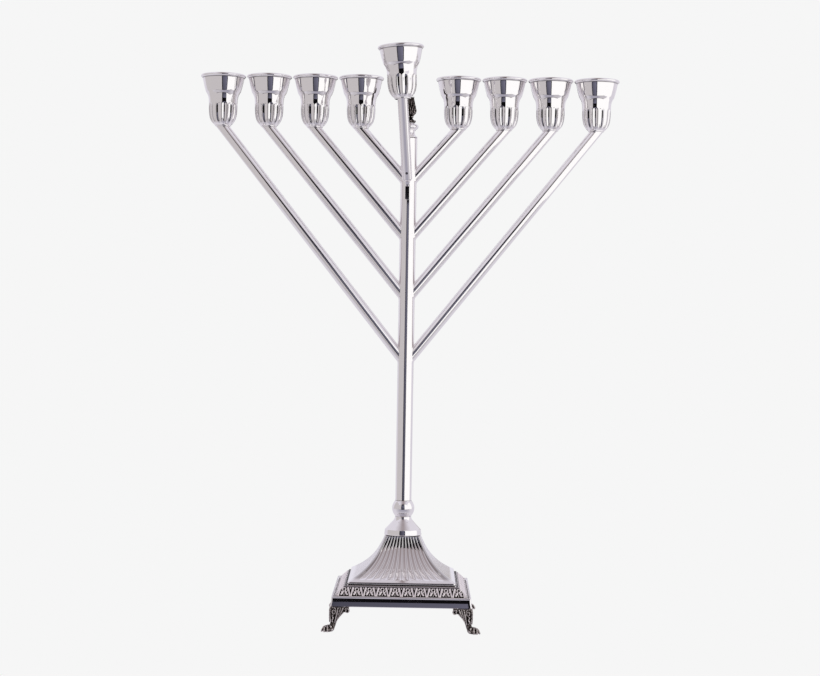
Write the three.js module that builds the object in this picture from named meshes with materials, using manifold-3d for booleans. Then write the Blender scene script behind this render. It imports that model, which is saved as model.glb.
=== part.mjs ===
// Nine-light Hanukkah lamp in polished silver: a hollow square base on four cast feet, a ball knop,
// one tube stem, four pairs of straight tube branches, eight level cups, and a ninth servant cup on
// an arm that lifts out of a pocket on the front of the stem.
// Millimetres, +Z up, +X to the right, the front faces -Y. Origin on the table under the stem.
// Heights are set out from a datum plane that lies DATUM_Z above the table.

import * as THREE from 'three';
import { mergeVertices } from 'three/addons/utils/BufferGeometryUtils.js';
import Module from 'manifold-3d';

const wasm = await Module();
wasm.setup();

// ---- driving dimensions -------------------------------------------------------------------------

const DATUM_Z = 1.2; // the paws reach this far below the datum plane
const GAP = 0.3; // clearance between pieces that touch on the real lamp
const WALL = 0.8; // sheet and tube wall

const CUP_PITCH = 35.5; // centre to centre of neighbouring cups on one side
const FIRST_CUP_X = 37.5; // stem axis to the nearest cup
const CUPS_PER_SIDE = 4;
const CUP_SEAT_Z = 378; // underside of the eight level cups
const CUP_HEIGHT = 39.5;
const CUP_FLOOR = 2; // thickness of the cup's floor
const CUP_RIM_RADIUS = 17.25;
const CUP_HOLE_RADIUS = 1.6;
const CUP_SCREW_RADIUS = 1.2;
const CUP_SCREW_REACH = 3.2; // thread below the cup's underside

const BRANCH_RADIUS = 4.15;
const BRANCH_TANS = [0.89, 0.85, 0.825, 0.797]; // run over rise of each branch, innermost first

const STEM_RADIUS = 6.2;
const STEM_TOP_Z = 371;

const KNOP_RADIUS = 8.55;
const KNOP_CENTRE_Z = 85.6;
const NECK_RADIUS = 6.25;
const CAP_TOP_Z = 79.2;
const CAP_BAND_TOP_Z = 69.4;
const CAP_BAND_RADIUS = 14.3;
const CAP_FOOT_Z = 65.3;
const SHELL_TOP_Z = CAP_FOOT_Z - GAP;
const SHELL_TOP_HALF = 13.4;

const FLARE_FOOT_HALF = 40.4; // where the fluted flare meets the step
const FLARE_FOOT_Z = 33.7;
const FLUTES_PER_SIDE = 12;
const FLUTE_DEPTH = 0.9;
const FLUTE_START = 0.03; // fraction of the flare's length above the flutes
const FLUTE_END = 0.93; // the flutes stop here, above a plain band
const TOP_MARGIN = 0.8; // plain metal between the outermost flute and the corner, at the top
const FOOT_MARGIN = 5; // and at the foot of the flare

const FRIEZE_TOP = [42.4, 31.9]; // half width and height of the strip's top edge
const FRIEZE_FOOT = [50.2, 24.2];
const FRIEZE_THICKNESS = 1.4;

const LEDGE_TOP_Z = 32.4; // the frame under the flare that carries the frieze
const LEDGE_FOOT_Z = 21.6;
const LEDGE_THICKNESS = 1;

const SKIRT_TOP_Z = 24.6;
const SKIRT_FACE_TOP_Z = 23.7;
const SKIRT_FOOT_Z = 17;
const SKIRT_HALF = 52.8;
const SKIRT_TOP_HALF = 51.9;

const ROD_RADIUS = 2;
const ROD_HOLE_RADIUS = 2.4;
const ROD_FOOT_Z = 57;
const ROD_TOP_Z = 102;
const NUT_RADIUS = 4.2;
const NUT_HEIGHT = 3.4;
const WASHER_RADIUS = 7;
const WASHER_THICKNESS = 1.4;
const TOP_SHEET = 1.2; // thickness of the shell's flat top
const BUSH_LENGTH = 12; // the plugs soldered into both ends of the stem
const FINIAL_STUD = 8; // the finial's stud inside the top bush

const SERVANT_SEAT = new THREE.Vector3(-5, -43.5, 395.5); // underside centre of the servant cup
const SERVANT_ARM_FOOT = new THREE.Vector3(-1, -11.6, 339.5);
const SERVANT_ARM_RADIUS = 3.9;
const SERVANT_LEAN = THREE.MathUtils.degToRad(3); // the servant cup leans a little to the left
const POCKET_CENTRE_X = -0.75;
const POCKET_TOP_Z = 333.5;
const POCKET_FOOT_Z = 323.3;
const POCKET_HALF_WIDTH = 2.2;
const POCKET_DEPTH = 3;
const POCKET_WALL = 0.7;

// ---- materials ----------------------------------------------------------------------------------

function silver(name, color, roughness) {
  const material = new THREE.MeshStandardMaterial({ color, roughness, metalness: 1 });
  material.name = name;
  return material;
}

const polished = silver('polished_silver', 0xe6e4e6, 0.08);
const oxidised = silver('oxidised_silver', 0x8a8480, 0.35);
const fastener = silver('brass_fastener', 0xc8a45a, 0.3);

// ---- geometry helpers ---------------------------------------------------------------------------

// Welds shared corners and drops triangles that have lost a side.
function weld(geometry) {
  const bare = geometry.clone();
  bare.deleteAttribute('normal');
  bare.deleteAttribute('uv');
  const merged = mergeVertices(bare, 1e-4);
  const index = merged.getIndex().array;
  const kept = [];
  for (let i = 0; i < index.length; i += 3) {
    const [a, b, c] = [index[i], index[i + 1], index[i + 2]];
    if (a !== b && b !== c && c !== a) kept.push(a, b, c);
  }
  merged.setIndex(kept);
  return merged;
}

// Six times the signed volume of a closed geometry: negative when its faces point inwards.
function signedVolume(geometry) {
  const position = geometry.getAttribute('position');
  const index = geometry.getIndex().array;
  const [a, b, c] = [new THREE.Vector3(), new THREE.Vector3(), new THREE.Vector3()];
  let sum = 0;
  for (let i = 0; i < index.length; i += 3) {
    a.fromBufferAttribute(position, index[i]);
    b.fromBufferAttribute(position, index[i + 1]);
    c.fromBufferAttribute(position, index[i + 2]);
    sum += a.dot(b.cross(c));
  }
  return sum;
}

// A welded geometry whose faces all point out.
function closed(geometry) {
  const result = weld(geometry);
  if (signedVolume(result) < 0) {
    const index = Array.from(result.getIndex().array);
    for (let i = 0; i < index.length; i += 3) [index[i], index[i + 1]] = [index[i + 1], index[i]];
    result.setIndex(index);
  }
  return result;
}

function toSolid(geometry) {
  const result = closed(geometry);
  const vertProperties = new Float32Array(result.getAttribute('position').array);
  const triVerts = new Uint32Array(result.getIndex().array);
  return new wasm.Manifold(new wasm.Mesh({ numProp: 3, vertProperties, triVerts }));
}

function fromSolid(solid) {
  const { vertProperties, triVerts } = solid.getMesh();
  const geometry = new THREE.BufferGeometry();
  geometry.setAttribute('position', new THREE.BufferAttribute(new Float32Array(vertProperties), 3));
  geometry.setIndex(Array.from(triVerts));
  return geometry;
}

function cut(geometry, ...tools) {
  return fromSolid(tools.reduce((solid, tool) => solid.subtract(toSolid(tool)), toSolid(geometry)));
}

function join(geometry, ...others) {
  return fromSolid(others.reduce((solid, other) => solid.add(toSolid(other)), toSolid(geometry)));
}

// A body of revolution about Z from a list of [radius, height] points.
function turned(profile, segments = 20) {
  const points = profile.map(([radius, height]) => new THREE.Vector2(radius, height));
  return closed(new THREE.LatheGeometry(points, segments).rotateX(Math.PI / 2));
}

// A straight pipe along Z whose profile closes on itself.
function pipe(outer, inner, bottom, top, segments = 20) {
  return turned([[inner, bottom], [outer, bottom], [outer, top], [inner, top], [inner, bottom]], segments);
}

function rod(radius, bottom, top, segments = 16) {
  return turned([[0, bottom], [radius, bottom], [radius, top], [0, top]], segments);
}

function box(low, high) {
  const size = high.map((value, i) => value - low[i]);
  const middle = high.map((value, i) => (value + low[i]) / 2);
  return new THREE.BoxGeometry(...size).translate(...middle);
}

// Turns a geometry built along +Z so that it runs from one point towards another.
function aim(geometry, from, towards) {
  const direction = towards.clone().sub(from).normalize();
  const turn = new THREE.Quaternion().setFromUnitVectors(new THREE.Vector3(0, 0, 1), direction);
  return geometry.clone().applyQuaternion(turn).translate(from.x, from.y, from.z);
}

// Skins a list of loops, each with the same number of points, and fans both ends shut.
function loft(loops) {
  const count = loops[0].length;
  const corners = [];
  const quad = (a, b, c, d) => corners.push(a, b, c, a, c, d);
  for (let i = 0; i + 1 < loops.length; i += 1) {
    for (let j = 0; j < count; j += 1) {
      const k = (j + 1) % count;
      quad(loops[i][j], loops[i][k], loops[i + 1][k], loops[i + 1][j]);
    }
  }
  const fan = (loop, flip) => {
    const middle = loop.reduce((sum, point) => sum.add(point), new THREE.Vector3());
    middle.divideScalar(count);
    for (let j = 0; j < count; j += 1) {
      const [a, b] = flip ? [(j + 1) % count, j] : [j, (j + 1) % count];
      corners.push(middle, loop[a], loop[b]);
    }
  };
  fan(loops[0], true);
  fan(loops[loops.length - 1], false);
  const geometry = new THREE.BufferGeometry().setFromPoints(corners);
  geometry.setIndex(corners.map((_, i) => i));
  return closed(geometry);
}

// A square loop with rounded corners; roundness 1 makes it a circle.
function squareLoop(half, z, roundness, steps = 5) {
  const radius = half * roundness;
  const loop = [];
  for (let side = 0; side < 4; side += 1) {
    const start = side * Math.PI / 2;
    for (let step = 0; step <= steps; step += 1) {
      const angle = start + step / steps * Math.PI / 2;
      const centre = half - radius;
      const sx = Math.sign(Math.cos(start + Math.PI / 4));
      const sy = Math.sign(Math.sin(start + Math.PI / 4));
      const x = sx * centre + radius * Math.cos(angle);
      const y = sy * centre + radius * Math.sin(angle);
      loop.push(new THREE.Vector3(x, y, z));
    }
  }
  return loop;
}

// One mitred side of a square moulding, from a [half width, height] section. It faces -Y.
function mitredSide(section, gap) {
  const loops = [-1, 1].map((end) => section.map(([half, z]) => (
    new THREE.Vector3(end * (half - gap), -half, z)
  )));
  return loft(loops);
}

// ---- the object ---------------------------------------------------------------------------------

const menorah = new THREE.Group();
menorah.position.z = DATUM_Z;

function add(name, geometry, material, parent = menorah) {
  const mesh = new THREE.Mesh(geometry, material);
  mesh.name = name;
  parent.add(mesh);
  return mesh;
}

// ---- base shell: the fluted concave flare, one hollow sheet ------------------------------------------

const flare = new THREE.CubicBezierCurve(
  new THREE.Vector2(SHELL_TOP_HALF, SHELL_TOP_Z),
  new THREE.Vector2(18.3, 52),
  new THREE.Vector2(24.4, 42),
  new THREE.Vector2(FLARE_FOOT_HALF, FLARE_FOOT_Z),
);

// How far a point on one face sinks into a flute: u runs across the face from -1 to 1.
function fluteSink(u, t, half) {
  const margin = THREE.MathUtils.lerp(TOP_MARGIN, FOOT_MARGIN, t);
  const across = (u * half + half - margin) / (2 * (half - margin));
  if (across <= 0 || across >= 1 || t < FLUTE_START || t > FLUTE_END) return 0;
  const phase = (across * FLUTES_PER_SIDE) % 1;
  return phase > 0.2 && phase < 0.8 ? FLUTE_DEPTH : 0;
}

// One level loop of the fluted flare: two corner margins and three columns for each flute.
function fluteLoop(t) {
  const { x: half, y: z } = flare.getPoint(t);
  const margin = THREE.MathUtils.lerp(TOP_MARGIN, FOOT_MARGIN, t);
  const inner = half - margin;
  const columns = [-half];
  for (let flute = 0; flute < FLUTES_PER_SIDE; flute += 1) {
    for (const phase of [0, 0.25, 0.75]) {
      columns.push(-inner + 2 * inner * (flute + phase) / FLUTES_PER_SIDE);
    }
  }
  columns.push(inner);
  const loop = [];
  for (let side = 0; side < 4; side += 1) {
    for (const x of columns) {
      const point = new THREE.Vector3(x, -half + fluteSink(x / half, t, half), z);
      loop.push(point.applyAxisAngle(new THREE.Vector3(0, 0, 1), side * Math.PI / 2));
    }
  }
  return loop;
}

// A square tube of levels, each [half width, height], with almost sharp corners.
function squareBody(levels) {
  return loft(levels.map(([half, z]) => squareLoop(half, z, 0.02, 1)));
}

function baseShell() {
  const edge = 0.001; // the flutes' ends are steps this long along the flare
  const ends = [FLUTE_START - edge, FLUTE_START + edge, FLUTE_END - edge, FLUTE_END + edge];
  const stops = [0, ends[0], ends[1], 0.25, 0.48, 0.7, ends[2], ends[3], 1];
  const lip = [[FLARE_FOOT_HALF, FLARE_FOOT_Z], [FLARE_FOOT_HALF, LEDGE_TOP_Z + GAP]];
  const outside = join(loft(stops.map((t) => fluteLoop(t))), squareBody(lip));
  const thickness = 1 + FLUTE_DEPTH;
  const inside = [0.06, 0.25, 0.45, 0.65, 0.85, 0.97].map((t) => {
    const { x: half, y: z } = flare.getPoint(t);
    const slope = flare.getTangent(t);
    return [half - thickness * Math.abs(slope.y), z - thickness * Math.abs(slope.x)];
  });
  inside[0] = [inside[0][0], SHELL_TOP_Z - TOP_SHEET];
  inside.push([FLARE_FOOT_HALF - 1.2, LEDGE_TOP_Z + GAP]);
  inside.push([FLARE_FOOT_HALF - 1.2, LEDGE_TOP_Z - 1]);
  const hole = rod(ROD_HOLE_RADIUS, SHELL_TOP_Z - 5, SHELL_TOP_Z + 5);
  return cut(outside, squareBody(inside), hole);
}

add('base_shell', baseShell(), polished);

// ---- base cap: turned cap, a plain band below and a trumpet that rises to the neck ---------------

const baseCap = [
  [ROD_HOLE_RADIUS, CAP_FOOT_Z],
  [CAP_BAND_RADIUS - 0.3, CAP_FOOT_Z],
  [CAP_BAND_RADIUS, CAP_FOOT_Z + 0.7],
  [CAP_BAND_RADIUS, CAP_BAND_TOP_Z - 0.3],
  [CAP_BAND_RADIUS - 0.5, CAP_BAND_TOP_Z + 0.3],
  [11.1, 72.6],
  [7.6, 76.1],
  [6.5, 77.6],
  [NECK_RADIUS, 78.4],
  [NECK_RADIUS, CAP_TOP_Z],
  [ROD_HOLE_RADIUS, CAP_TOP_Z],
  [ROD_HOLE_RADIUS, CAP_FOOT_Z],
];
add('base_cap', turned(baseCap, 24), polished);

// ---- ledge frame, friezes and skirt --------------------------------------------------------------

const SIDES = ['front', 'right', 'back', 'left'];
const friezeBack = FRIEZE_THICKNESS * Math.SQRT1_2; // how far the back face lies in and down
const ledgeFace = (FRIEZE_THICKNESS + GAP) * Math.SQRT1_2;
const ledgeFootHalf = FRIEZE_FOOT[0] - ledgeFace;

function ledgeFrame() {
  const outside = [
    [FRIEZE_TOP[0] - ledgeFace - 1, LEDGE_TOP_Z],
    [FRIEZE_TOP[0] - ledgeFace, FRIEZE_TOP[1] - ledgeFace],
    [ledgeFootHalf, FRIEZE_FOOT[1] - ledgeFace],
    [ledgeFootHalf, LEDGE_FOOT_Z],
  ];
  const inside = [
    [FRIEZE_TOP[0] - ledgeFace - 1 - LEDGE_THICKNESS, LEDGE_TOP_Z + 1],
    [FRIEZE_TOP[0] - ledgeFace - 1 - LEDGE_THICKNESS, FRIEZE_TOP[1] - ledgeFace],
    [ledgeFootHalf - LEDGE_THICKNESS, LEDGE_FOOT_Z + 0.7],
    [ledgeFootHalf - LEDGE_THICKNESS, LEDGE_FOOT_Z - 1],
  ];
  return cut(squareBody(outside), squareBody(inside));
}

add('base_ledge', ledgeFrame(), polished);

const friezeSection = [
  FRIEZE_TOP,
  [FRIEZE_TOP[0] - friezeBack, FRIEZE_TOP[1] - friezeBack],
  [FRIEZE_FOOT[0] - friezeBack, FRIEZE_FOOT[1] - friezeBack],
  FRIEZE_FOOT,
];
SIDES.forEach((side, i) => {
  const mesh = add(`frieze_${side}`, mitredSide(friezeSection, GAP), oxidised);
  mesh.rotation.z = i * Math.PI / 2;
});

const skirtInner = ledgeFootHalf + GAP + 0.15;
const skirtSection = [
  [skirtInner, SKIRT_TOP_Z - 2.1],
  [skirtInner + 1.7, SKIRT_TOP_Z - 0.35],
  [51.5, SKIRT_TOP_Z],
  [SKIRT_TOP_HALF, SKIRT_FACE_TOP_Z],
  [52.2, 21],
  [SKIRT_HALF, SKIRT_FOOT_Z],
];

function skirt() {
  const outside = loft(skirtSection.map(([half, z]) => squareLoop(half, z, 0.03, 1)));
  const bore = box([-skirtInner, -skirtInner, 10], [skirtInner, skirtInner, 40]);
  return cut(outside, bore);
}

add('skirt', skirt(), polished);

// ---- feet: leaf wings along both sides, a leg on the diagonal and a paw that points out ----------

const FOOT_TOP_Z = SKIRT_FOOT_Z - GAP;

const WING_THICKNESS = 3.4;
const WING_FACE_Y = -53;
const VOLUTE = [-40.1, 14.2, 2]; // centre x, centre z and radius of the curled end

function wing() {
  const outline = new THREE.Shape();
  outline.moveTo(-53.2, FOOT_TOP_Z);
  outline.lineTo(-39.4, FOOT_TOP_Z);
  outline.absarc(...VOLUTE, 1.2, -2.2, true);
  outline.quadraticCurveTo(-45.2, 11.4, -48, 4.6);
  outline.lineTo(-52, 3.6);
  outline.quadraticCurveTo(-53.6, 10, -53.2, FOOT_TOP_Z);
  const settings = { depth: WING_THICKNESS, bevelEnabled: false, curveSegments: 4 };
  const plate = new THREE.ExtrudeGeometry(outline, settings);
  return plate.rotateX(Math.PI / 2).translate(0, WING_FACE_Y + WING_THICKNESS, 0);
}

function ellipseLoop([out, z, alongOut, across], count = 8) {
  const loop = [];
  for (let i = 0; i < count; i += 1) {
    const angle = i / count * Math.PI * 2;
    const a = -(out + alongOut * Math.cos(angle)) * Math.SQRT1_2;
    const b = across * Math.sin(angle) * Math.SQRT1_2;
    loop.push(new THREE.Vector3(a - b, a + b, z));
  }
  return loop;
}

// Levels along the leg: distance out along the diagonal, height and the two half widths.
const LEG_LEVELS = [
  [69.4, FOOT_TOP_Z, 3.8, 4.8],
  [70, 11.5, 3.2, 4],
  [69.4, 6.5, 2.9, 3.2],
  [70, 3.2, 2.8, 2.8],
  [72.6, -0.8, 2.8, 2.8],
];
const PAW_CENTRE = [-53.5, -53.5, 0.5];
const PAW_RADII = [5.9, 3.7, 3];

// Swaps X and Y, which carries a wing from the front of a corner to its side.
const swapXY = new THREE.Matrix4().set(0, 1, 0, 0, 1, 0, 0, 0, 0, 0, 1, 0, 0, 0, 0, 1);

function footGeometry() {
  const side = wing().applyMatrix4(swapXY);
  const leg = loft(LEG_LEVELS.map((level) => ellipseLoop(level)));
  const paw = new THREE.SphereGeometry(1, 10, 6).scale(...PAW_RADII).rotateZ(Math.PI / 4);
  paw.translate(...PAW_CENTRE);
  const table = box([-90, -90, -20], [-30, -30, -DATUM_Z]);
  return cut(join(wing(), side, leg, paw), table);
}

const foot = footGeometry();
const CORNERS = ['front_left', 'front_right', 'back_right', 'back_left'];
CORNERS.forEach((corner, i) => {
  const mesh = add(`foot_${corner}`, foot, oxidised);
  mesh.rotation.z = i * Math.PI / 2;
});

// ---- knop, stem and the rod that clamps them to the base ----------------------------------------

function arcPoints(centre, radius, from, to, steps) {
  return Array.from({ length: steps + 1 }, (_, i) => {
    const angle = THREE.MathUtils.lerp(from, to, i / steps);
    return [radius * Math.cos(angle), centre + radius * Math.sin(angle)];
  });
}

const KNOP_TOP_Z = KNOP_CENTRE_Z + Math.sqrt(KNOP_RADIUS ** 2 - STEM_RADIUS ** 2);

function knop() {
  const low = -Math.acos(NECK_RADIUS / KNOP_RADIUS);
  const high = Math.acos(STEM_RADIUS / KNOP_RADIUS);
  const ball = arcPoints(KNOP_CENTRE_Z, KNOP_RADIUS, low, high, 6);
  const bore = [ROD_HOLE_RADIUS, CAP_TOP_Z + GAP];
  return turned([bore, [NECK_RADIUS, CAP_TOP_Z + GAP], ...ball, [ROD_HOLE_RADIUS, KNOP_TOP_Z], bore], 20);
}

add('knop', knop(), polished);

const STEM_FOOT_Z = KNOP_TOP_Z + GAP;
const STEM_BORE = STEM_RADIUS - WALL;
const bush = pipe(STEM_BORE - GAP, ROD_HOLE_RADIUS, 0, BUSH_LENGTH, 16);
add('stem_tube', pipe(STEM_RADIUS, STEM_BORE, STEM_FOOT_Z, STEM_TOP_Z, 24), polished);
add('stem_bottom_bush', bush, fastener).position.z = STEM_FOOT_Z;
add('stem_top_bush', bush, fastener).position.z = STEM_TOP_Z - BUSH_LENGTH;

add('tie_rod', rod(ROD_RADIUS, ROD_FOOT_Z, ROD_TOP_Z, 10), fastener);
const WASHER_TOP_Z = SHELL_TOP_Z - TOP_SHEET - GAP;
const NUT_TOP_Z = WASHER_TOP_Z - WASHER_THICKNESS - GAP;
const washer = pipe(WASHER_RADIUS, ROD_HOLE_RADIUS, WASHER_TOP_Z - WASHER_THICKNESS, WASHER_TOP_Z, 20);
add('tie_rod_washer', washer, fastener);
add('tie_rod_nut', pipe(NUT_RADIUS, ROD_HOLE_RADIUS, NUT_TOP_Z - NUT_HEIGHT, NUT_TOP_Z, 6), fastener);

// ---- finial on top of the stem: turned neck with a disc, then a cast leaf bud --------------------

const BUD_FOOT_Z = 382.9;
const finialNeck = [
  [0, STEM_TOP_Z - FINIAL_STUD],
  [ROD_RADIUS, STEM_TOP_Z - FINIAL_STUD],
  [ROD_RADIUS, STEM_TOP_Z + GAP],
  [STEM_RADIUS, STEM_TOP_Z + GAP],
  [5.4, 372.6],
  [4.2, 374.4],
  [4.1, 376.6],
  [6.4, 378.6],
  [6.9, 380],
  [6.3, 381.6],
  [4.4, BUD_FOOT_Z - GAP],
  [0, BUD_FOOT_Z - GAP],
];
add('finial_neck', turned(finialNeck, 16), polished);

const finialBud = [
  [0, BUD_FOOT_Z],
  [4.9, BUD_FOOT_Z],
  [4.6, 384.6],
  [2.6, 387.2],
  [3.4, 389.5],
  [4.8, 391.2],
  [5.4, 392.9],
  [4.9, 395.6],
  [4.2, 398],
  [3.7, 400.2],
  [3.4, 402.2],
  [2.4, 403.2],
  [0, 403.6],
];
add('finial_bud', turned(finialBud, 14), oxidised);

// ---- cups ---------------------------------------------------------------------------------------

// Tulip cup, outside from the foot up, then inside from the rim down, closing through its hole.
const cupProfile = [
  [CUP_HOLE_RADIUS, 0],
  [5.9, 0],
  [8, 2.3],
  [9.7, 5.3],
  [10.9, 10.5],
  [11, 20.5],
  [13.4, 27.2],
  [14.2, 29.6],
  [15.4, 35.2],
  [CUP_RIM_RADIUS, 38.2],
  [16.8, CUP_HEIGHT],
  [15.2, 37.6],
  [13, 29.2],
  [9.9, 21],
  [9.6, 10.5],
  [6.8, 3.6],
  [4.2, CUP_FLOOR],
  [CUP_HOLE_RADIUS, CUP_FLOOR],
  [CUP_HOLE_RADIUS, 0],
];
const cup = turned(cupProfile, 16);

const cupScrew = turned([
  [0, -CUP_SCREW_REACH],
  [CUP_SCREW_RADIUS, -CUP_SCREW_REACH],
  [CUP_SCREW_RADIUS, CUP_FLOOR + GAP],
  [3.2, CUP_FLOOR + GAP],
  [2.4, CUP_FLOOR + 1.6],
  [0, CUP_FLOOR + 1.9],
], 10);
const screwPilot = rod(CUP_SCREW_RADIUS + GAP, -CUP_SCREW_REACH - GAP, 1, 10);

// ---- branches -----------------------------------------------------------------------------------

const BRANCH_BORE = BRANCH_RADIUS - WALL;
const aboveSeat = box([-200, -50, CUP_SEAT_Z - GAP], [200, 50, CUP_SEAT_Z + 60]);
const stemClearance = rod(STEM_RADIUS + GAP, 100, STEM_TOP_Z + 20, 24);

function branchLine(x, tan) {
  const from = new THREE.Vector3(0, 0, CUP_SEAT_Z - Math.abs(x) / tan);
  return [from, new THREE.Vector3(x, 0, CUP_SEAT_Z)];
}

function branchTube(x, tan) {
  const [from, seat] = branchLine(x, tan);
  const length = from.distanceTo(seat) + 12;
  const tube = aim(pipe(BRANCH_RADIUS, BRANCH_BORE, 0, length, 14), from, seat);
  return cut(tube, aboveSeat, stemClearance);
}

// The solid plug in a branch's upper end, drilled straight down for the cup screw.
function branchPlug(x, tan) {
  const [from, seat] = branchLine(x, tan);
  const length = from.distanceTo(seat);
  const plug = aim(rod(BRANCH_BORE - GAP, length - 9, length + 12, 12), from, seat);
  const drill = screwPilot.clone().translate(x, 0, CUP_SEAT_Z);
  return cut(plug, aboveSeat, drill);
}

for (const [side, sign] of [['left', -1], ['right', 1]]) {
  for (let i = 0; i < CUPS_PER_SIDE; i += 1) {
    const x = sign * (FIRST_CUP_X + i * CUP_PITCH);
    const label = `${side}_${i + 1}`;
    add(`branch_${label}`, branchTube(x, BRANCH_TANS[i]), polished);
    add(`branch_plug_${label}`, branchPlug(x, BRANCH_TANS[i]), fastener);
    add(`cup_${label}`, cup, polished).position.set(x, 0, CUP_SEAT_Z);
    add(`cup_screw_${label}`, cupScrew, fastener).position.set(x, 0, CUP_SEAT_Z);
  }
}

// ---- servant light: cup, arm, hook, and the pocket on the stem that takes the hook ---------------

const servantCup = new THREE.Group();
servantCup.position.copy(SERVANT_SEAT);
servantCup.rotation.y = -SERVANT_LEAN;
menorah.add(servantCup);
add('shamash_cup', cup, polished, servantCup);
add('shamash_screw', cupScrew, fastener, servantCup);

const ARM_BORE = SERVANT_ARM_RADIUS - WALL;
const armLength = SERVANT_ARM_FOOT.distanceTo(SERVANT_SEAT);

// Everything above the leaning plane just under the servant cup.
function aboveServantSeat() {
  const block = box([-30, -30, -GAP], [30, 30, 40]).rotateY(-SERVANT_LEAN);
  return block.translate(SERVANT_SEAT.x, SERVANT_SEAT.y, SERVANT_SEAT.z);
}

function servantArm() {
  const tube = pipe(SERVANT_ARM_RADIUS, ARM_BORE, 0, armLength + 8, 16);
  const vent = rod(1, 0, 12, 8).rotateX(Math.PI / 2).translate(0, 0, 5.6);
  return cut(aim(cut(tube, vent), SERVANT_ARM_FOOT, SERVANT_SEAT), aboveServantSeat());
}

function servantPlug() {
  const plug = aim(rod(ARM_BORE - GAP, armLength - 10, armLength + 8, 12), SERVANT_ARM_FOOT, SERVANT_SEAT);
  const drill = screwPilot.clone().rotateY(-SERVANT_LEAN);
  drill.translate(SERVANT_SEAT.x, SERVANT_SEAT.y, SERVANT_SEAT.z);
  return cut(plug, aboveServantSeat(), drill);
}

add('shamash_arm', servantArm(), polished);
add('shamash_plug', servantPlug(), fastener);

const TONGUE_MIDDLE_Y = -(STEM_RADIUS + GAP + POCKET_DEPTH / 2);
const TONGUE_HALF_THICKNESS = POCKET_DEPTH / 2 - POCKET_WALL - GAP;
const TONGUE_HALF_WIDTH = POCKET_HALF_WIDTH - POCKET_WALL - GAP;

// Domed lower end of the arm and its flat tongue, cast as one piece.
function servantHook() {
  const dome = turned([
    [0, -3],
    [2.2, -2.6],
    [SERVANT_ARM_RADIUS, -1.1],
    [SERVANT_ARM_RADIUS, -GAP],
    [ARM_BORE - GAP, -GAP],
    [ARM_BORE - GAP, 2.4],
    [0, 2.4],
  ], 16);
  const outline = new THREE.Shape();
  outline.moveTo(-TONGUE_HALF_WIDTH, POCKET_FOOT_Z + 1);
  outline.lineTo(TONGUE_HALF_WIDTH, POCKET_FOOT_Z + 1);
  outline.lineTo(TONGUE_HALF_WIDTH, POCKET_TOP_Z + GAP);
  outline.lineTo(POCKET_HALF_WIDTH, POCKET_TOP_Z + 4.6);
  outline.lineTo(-POCKET_HALF_WIDTH, POCKET_TOP_Z + 4.6);
  outline.lineTo(-TONGUE_HALF_WIDTH, POCKET_TOP_Z + GAP);
  outline.closePath();
  const depth = 2 * TONGUE_HALF_THICKNESS;
  const tongue = new THREE.ExtrudeGeometry(outline, { depth, bevelEnabled: false });
  tongue.rotateX(Math.PI / 2).translate(POCKET_CENTRE_X, TONGUE_MIDDLE_Y + TONGUE_HALF_THICKNESS, 0);
  const web = box([-1.6, -1.8, -0.8], [1.6, 1.2, 2.2]);
  web.translate(POCKET_CENTRE_X, TONGUE_MIDDLE_Y - 1, POCKET_TOP_Z + 2.8);
  return join(aim(dome, SERVANT_ARM_FOOT, SERVANT_SEAT), tongue, web);
}

add('shamash_hook', servantHook(), polished);

// Sheath with a through slot, soldered to the front of the stem.
function servantPocket() {
  const back = -(STEM_RADIUS + GAP);
  const front = back - POCKET_DEPTH;
  const [left, right] = [POCKET_CENTRE_X - POCKET_HALF_WIDTH, POCKET_CENTRE_X + POCKET_HALF_WIDTH];
  const block = box([left, front, POCKET_FOOT_Z], [right, back, POCKET_TOP_Z]);
  const slot = box(
    [left + POCKET_WALL, front + POCKET_WALL, POCKET_FOOT_Z - 1],
    [right - POCKET_WALL, back - POCKET_WALL, POCKET_TOP_Z + 1],
  );
  return cut(block, slot);
}

add('shamash_pocket', servantPocket(), polished);

export default menorah;
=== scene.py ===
# %% [markdown]
# # A nine-light silver lamp
# The lamp is a hollow square base, one tube stem, eight straight tube branches with a cup on each,
# and a ninth servant cup whose arm lifts out of a pocket on the stem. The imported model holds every
# size and place. This script loads it as a fixed frame and makes the fine surface around it: pressed
# flutes, cast leaves, soldered joints and hand-polished metal.

# %% Load the frame
import math

import bmesh
import bpy
import numpy as np
from mathutils import Matrix, Vector


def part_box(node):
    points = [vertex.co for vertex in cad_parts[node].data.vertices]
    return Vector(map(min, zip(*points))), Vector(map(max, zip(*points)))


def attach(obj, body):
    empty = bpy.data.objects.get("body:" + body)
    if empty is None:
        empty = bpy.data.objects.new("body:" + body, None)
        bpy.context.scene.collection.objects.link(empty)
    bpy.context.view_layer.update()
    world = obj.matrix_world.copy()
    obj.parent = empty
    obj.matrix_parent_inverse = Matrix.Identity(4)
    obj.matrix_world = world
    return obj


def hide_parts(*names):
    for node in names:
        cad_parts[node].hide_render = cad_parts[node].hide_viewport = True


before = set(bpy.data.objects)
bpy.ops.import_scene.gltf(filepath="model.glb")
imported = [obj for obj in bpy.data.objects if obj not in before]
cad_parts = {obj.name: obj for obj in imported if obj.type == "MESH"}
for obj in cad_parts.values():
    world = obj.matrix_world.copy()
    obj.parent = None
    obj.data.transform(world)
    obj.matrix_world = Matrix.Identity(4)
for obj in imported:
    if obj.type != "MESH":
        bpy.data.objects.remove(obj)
scene = bpy.context.scene
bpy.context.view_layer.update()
MM = 0.001
DATUM = 1.2  # heights below are set out from a plane this far above the table, as on the model
LAMP = "lamp"
SERVANT = "servant_light"

# %% [markdown]
# ## The camera
# A long lens from a little over a metre keeps the branches parallel. It stands at half the lamp's
# height, so the base is seen from above and the cups from just below their rims.

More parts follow.
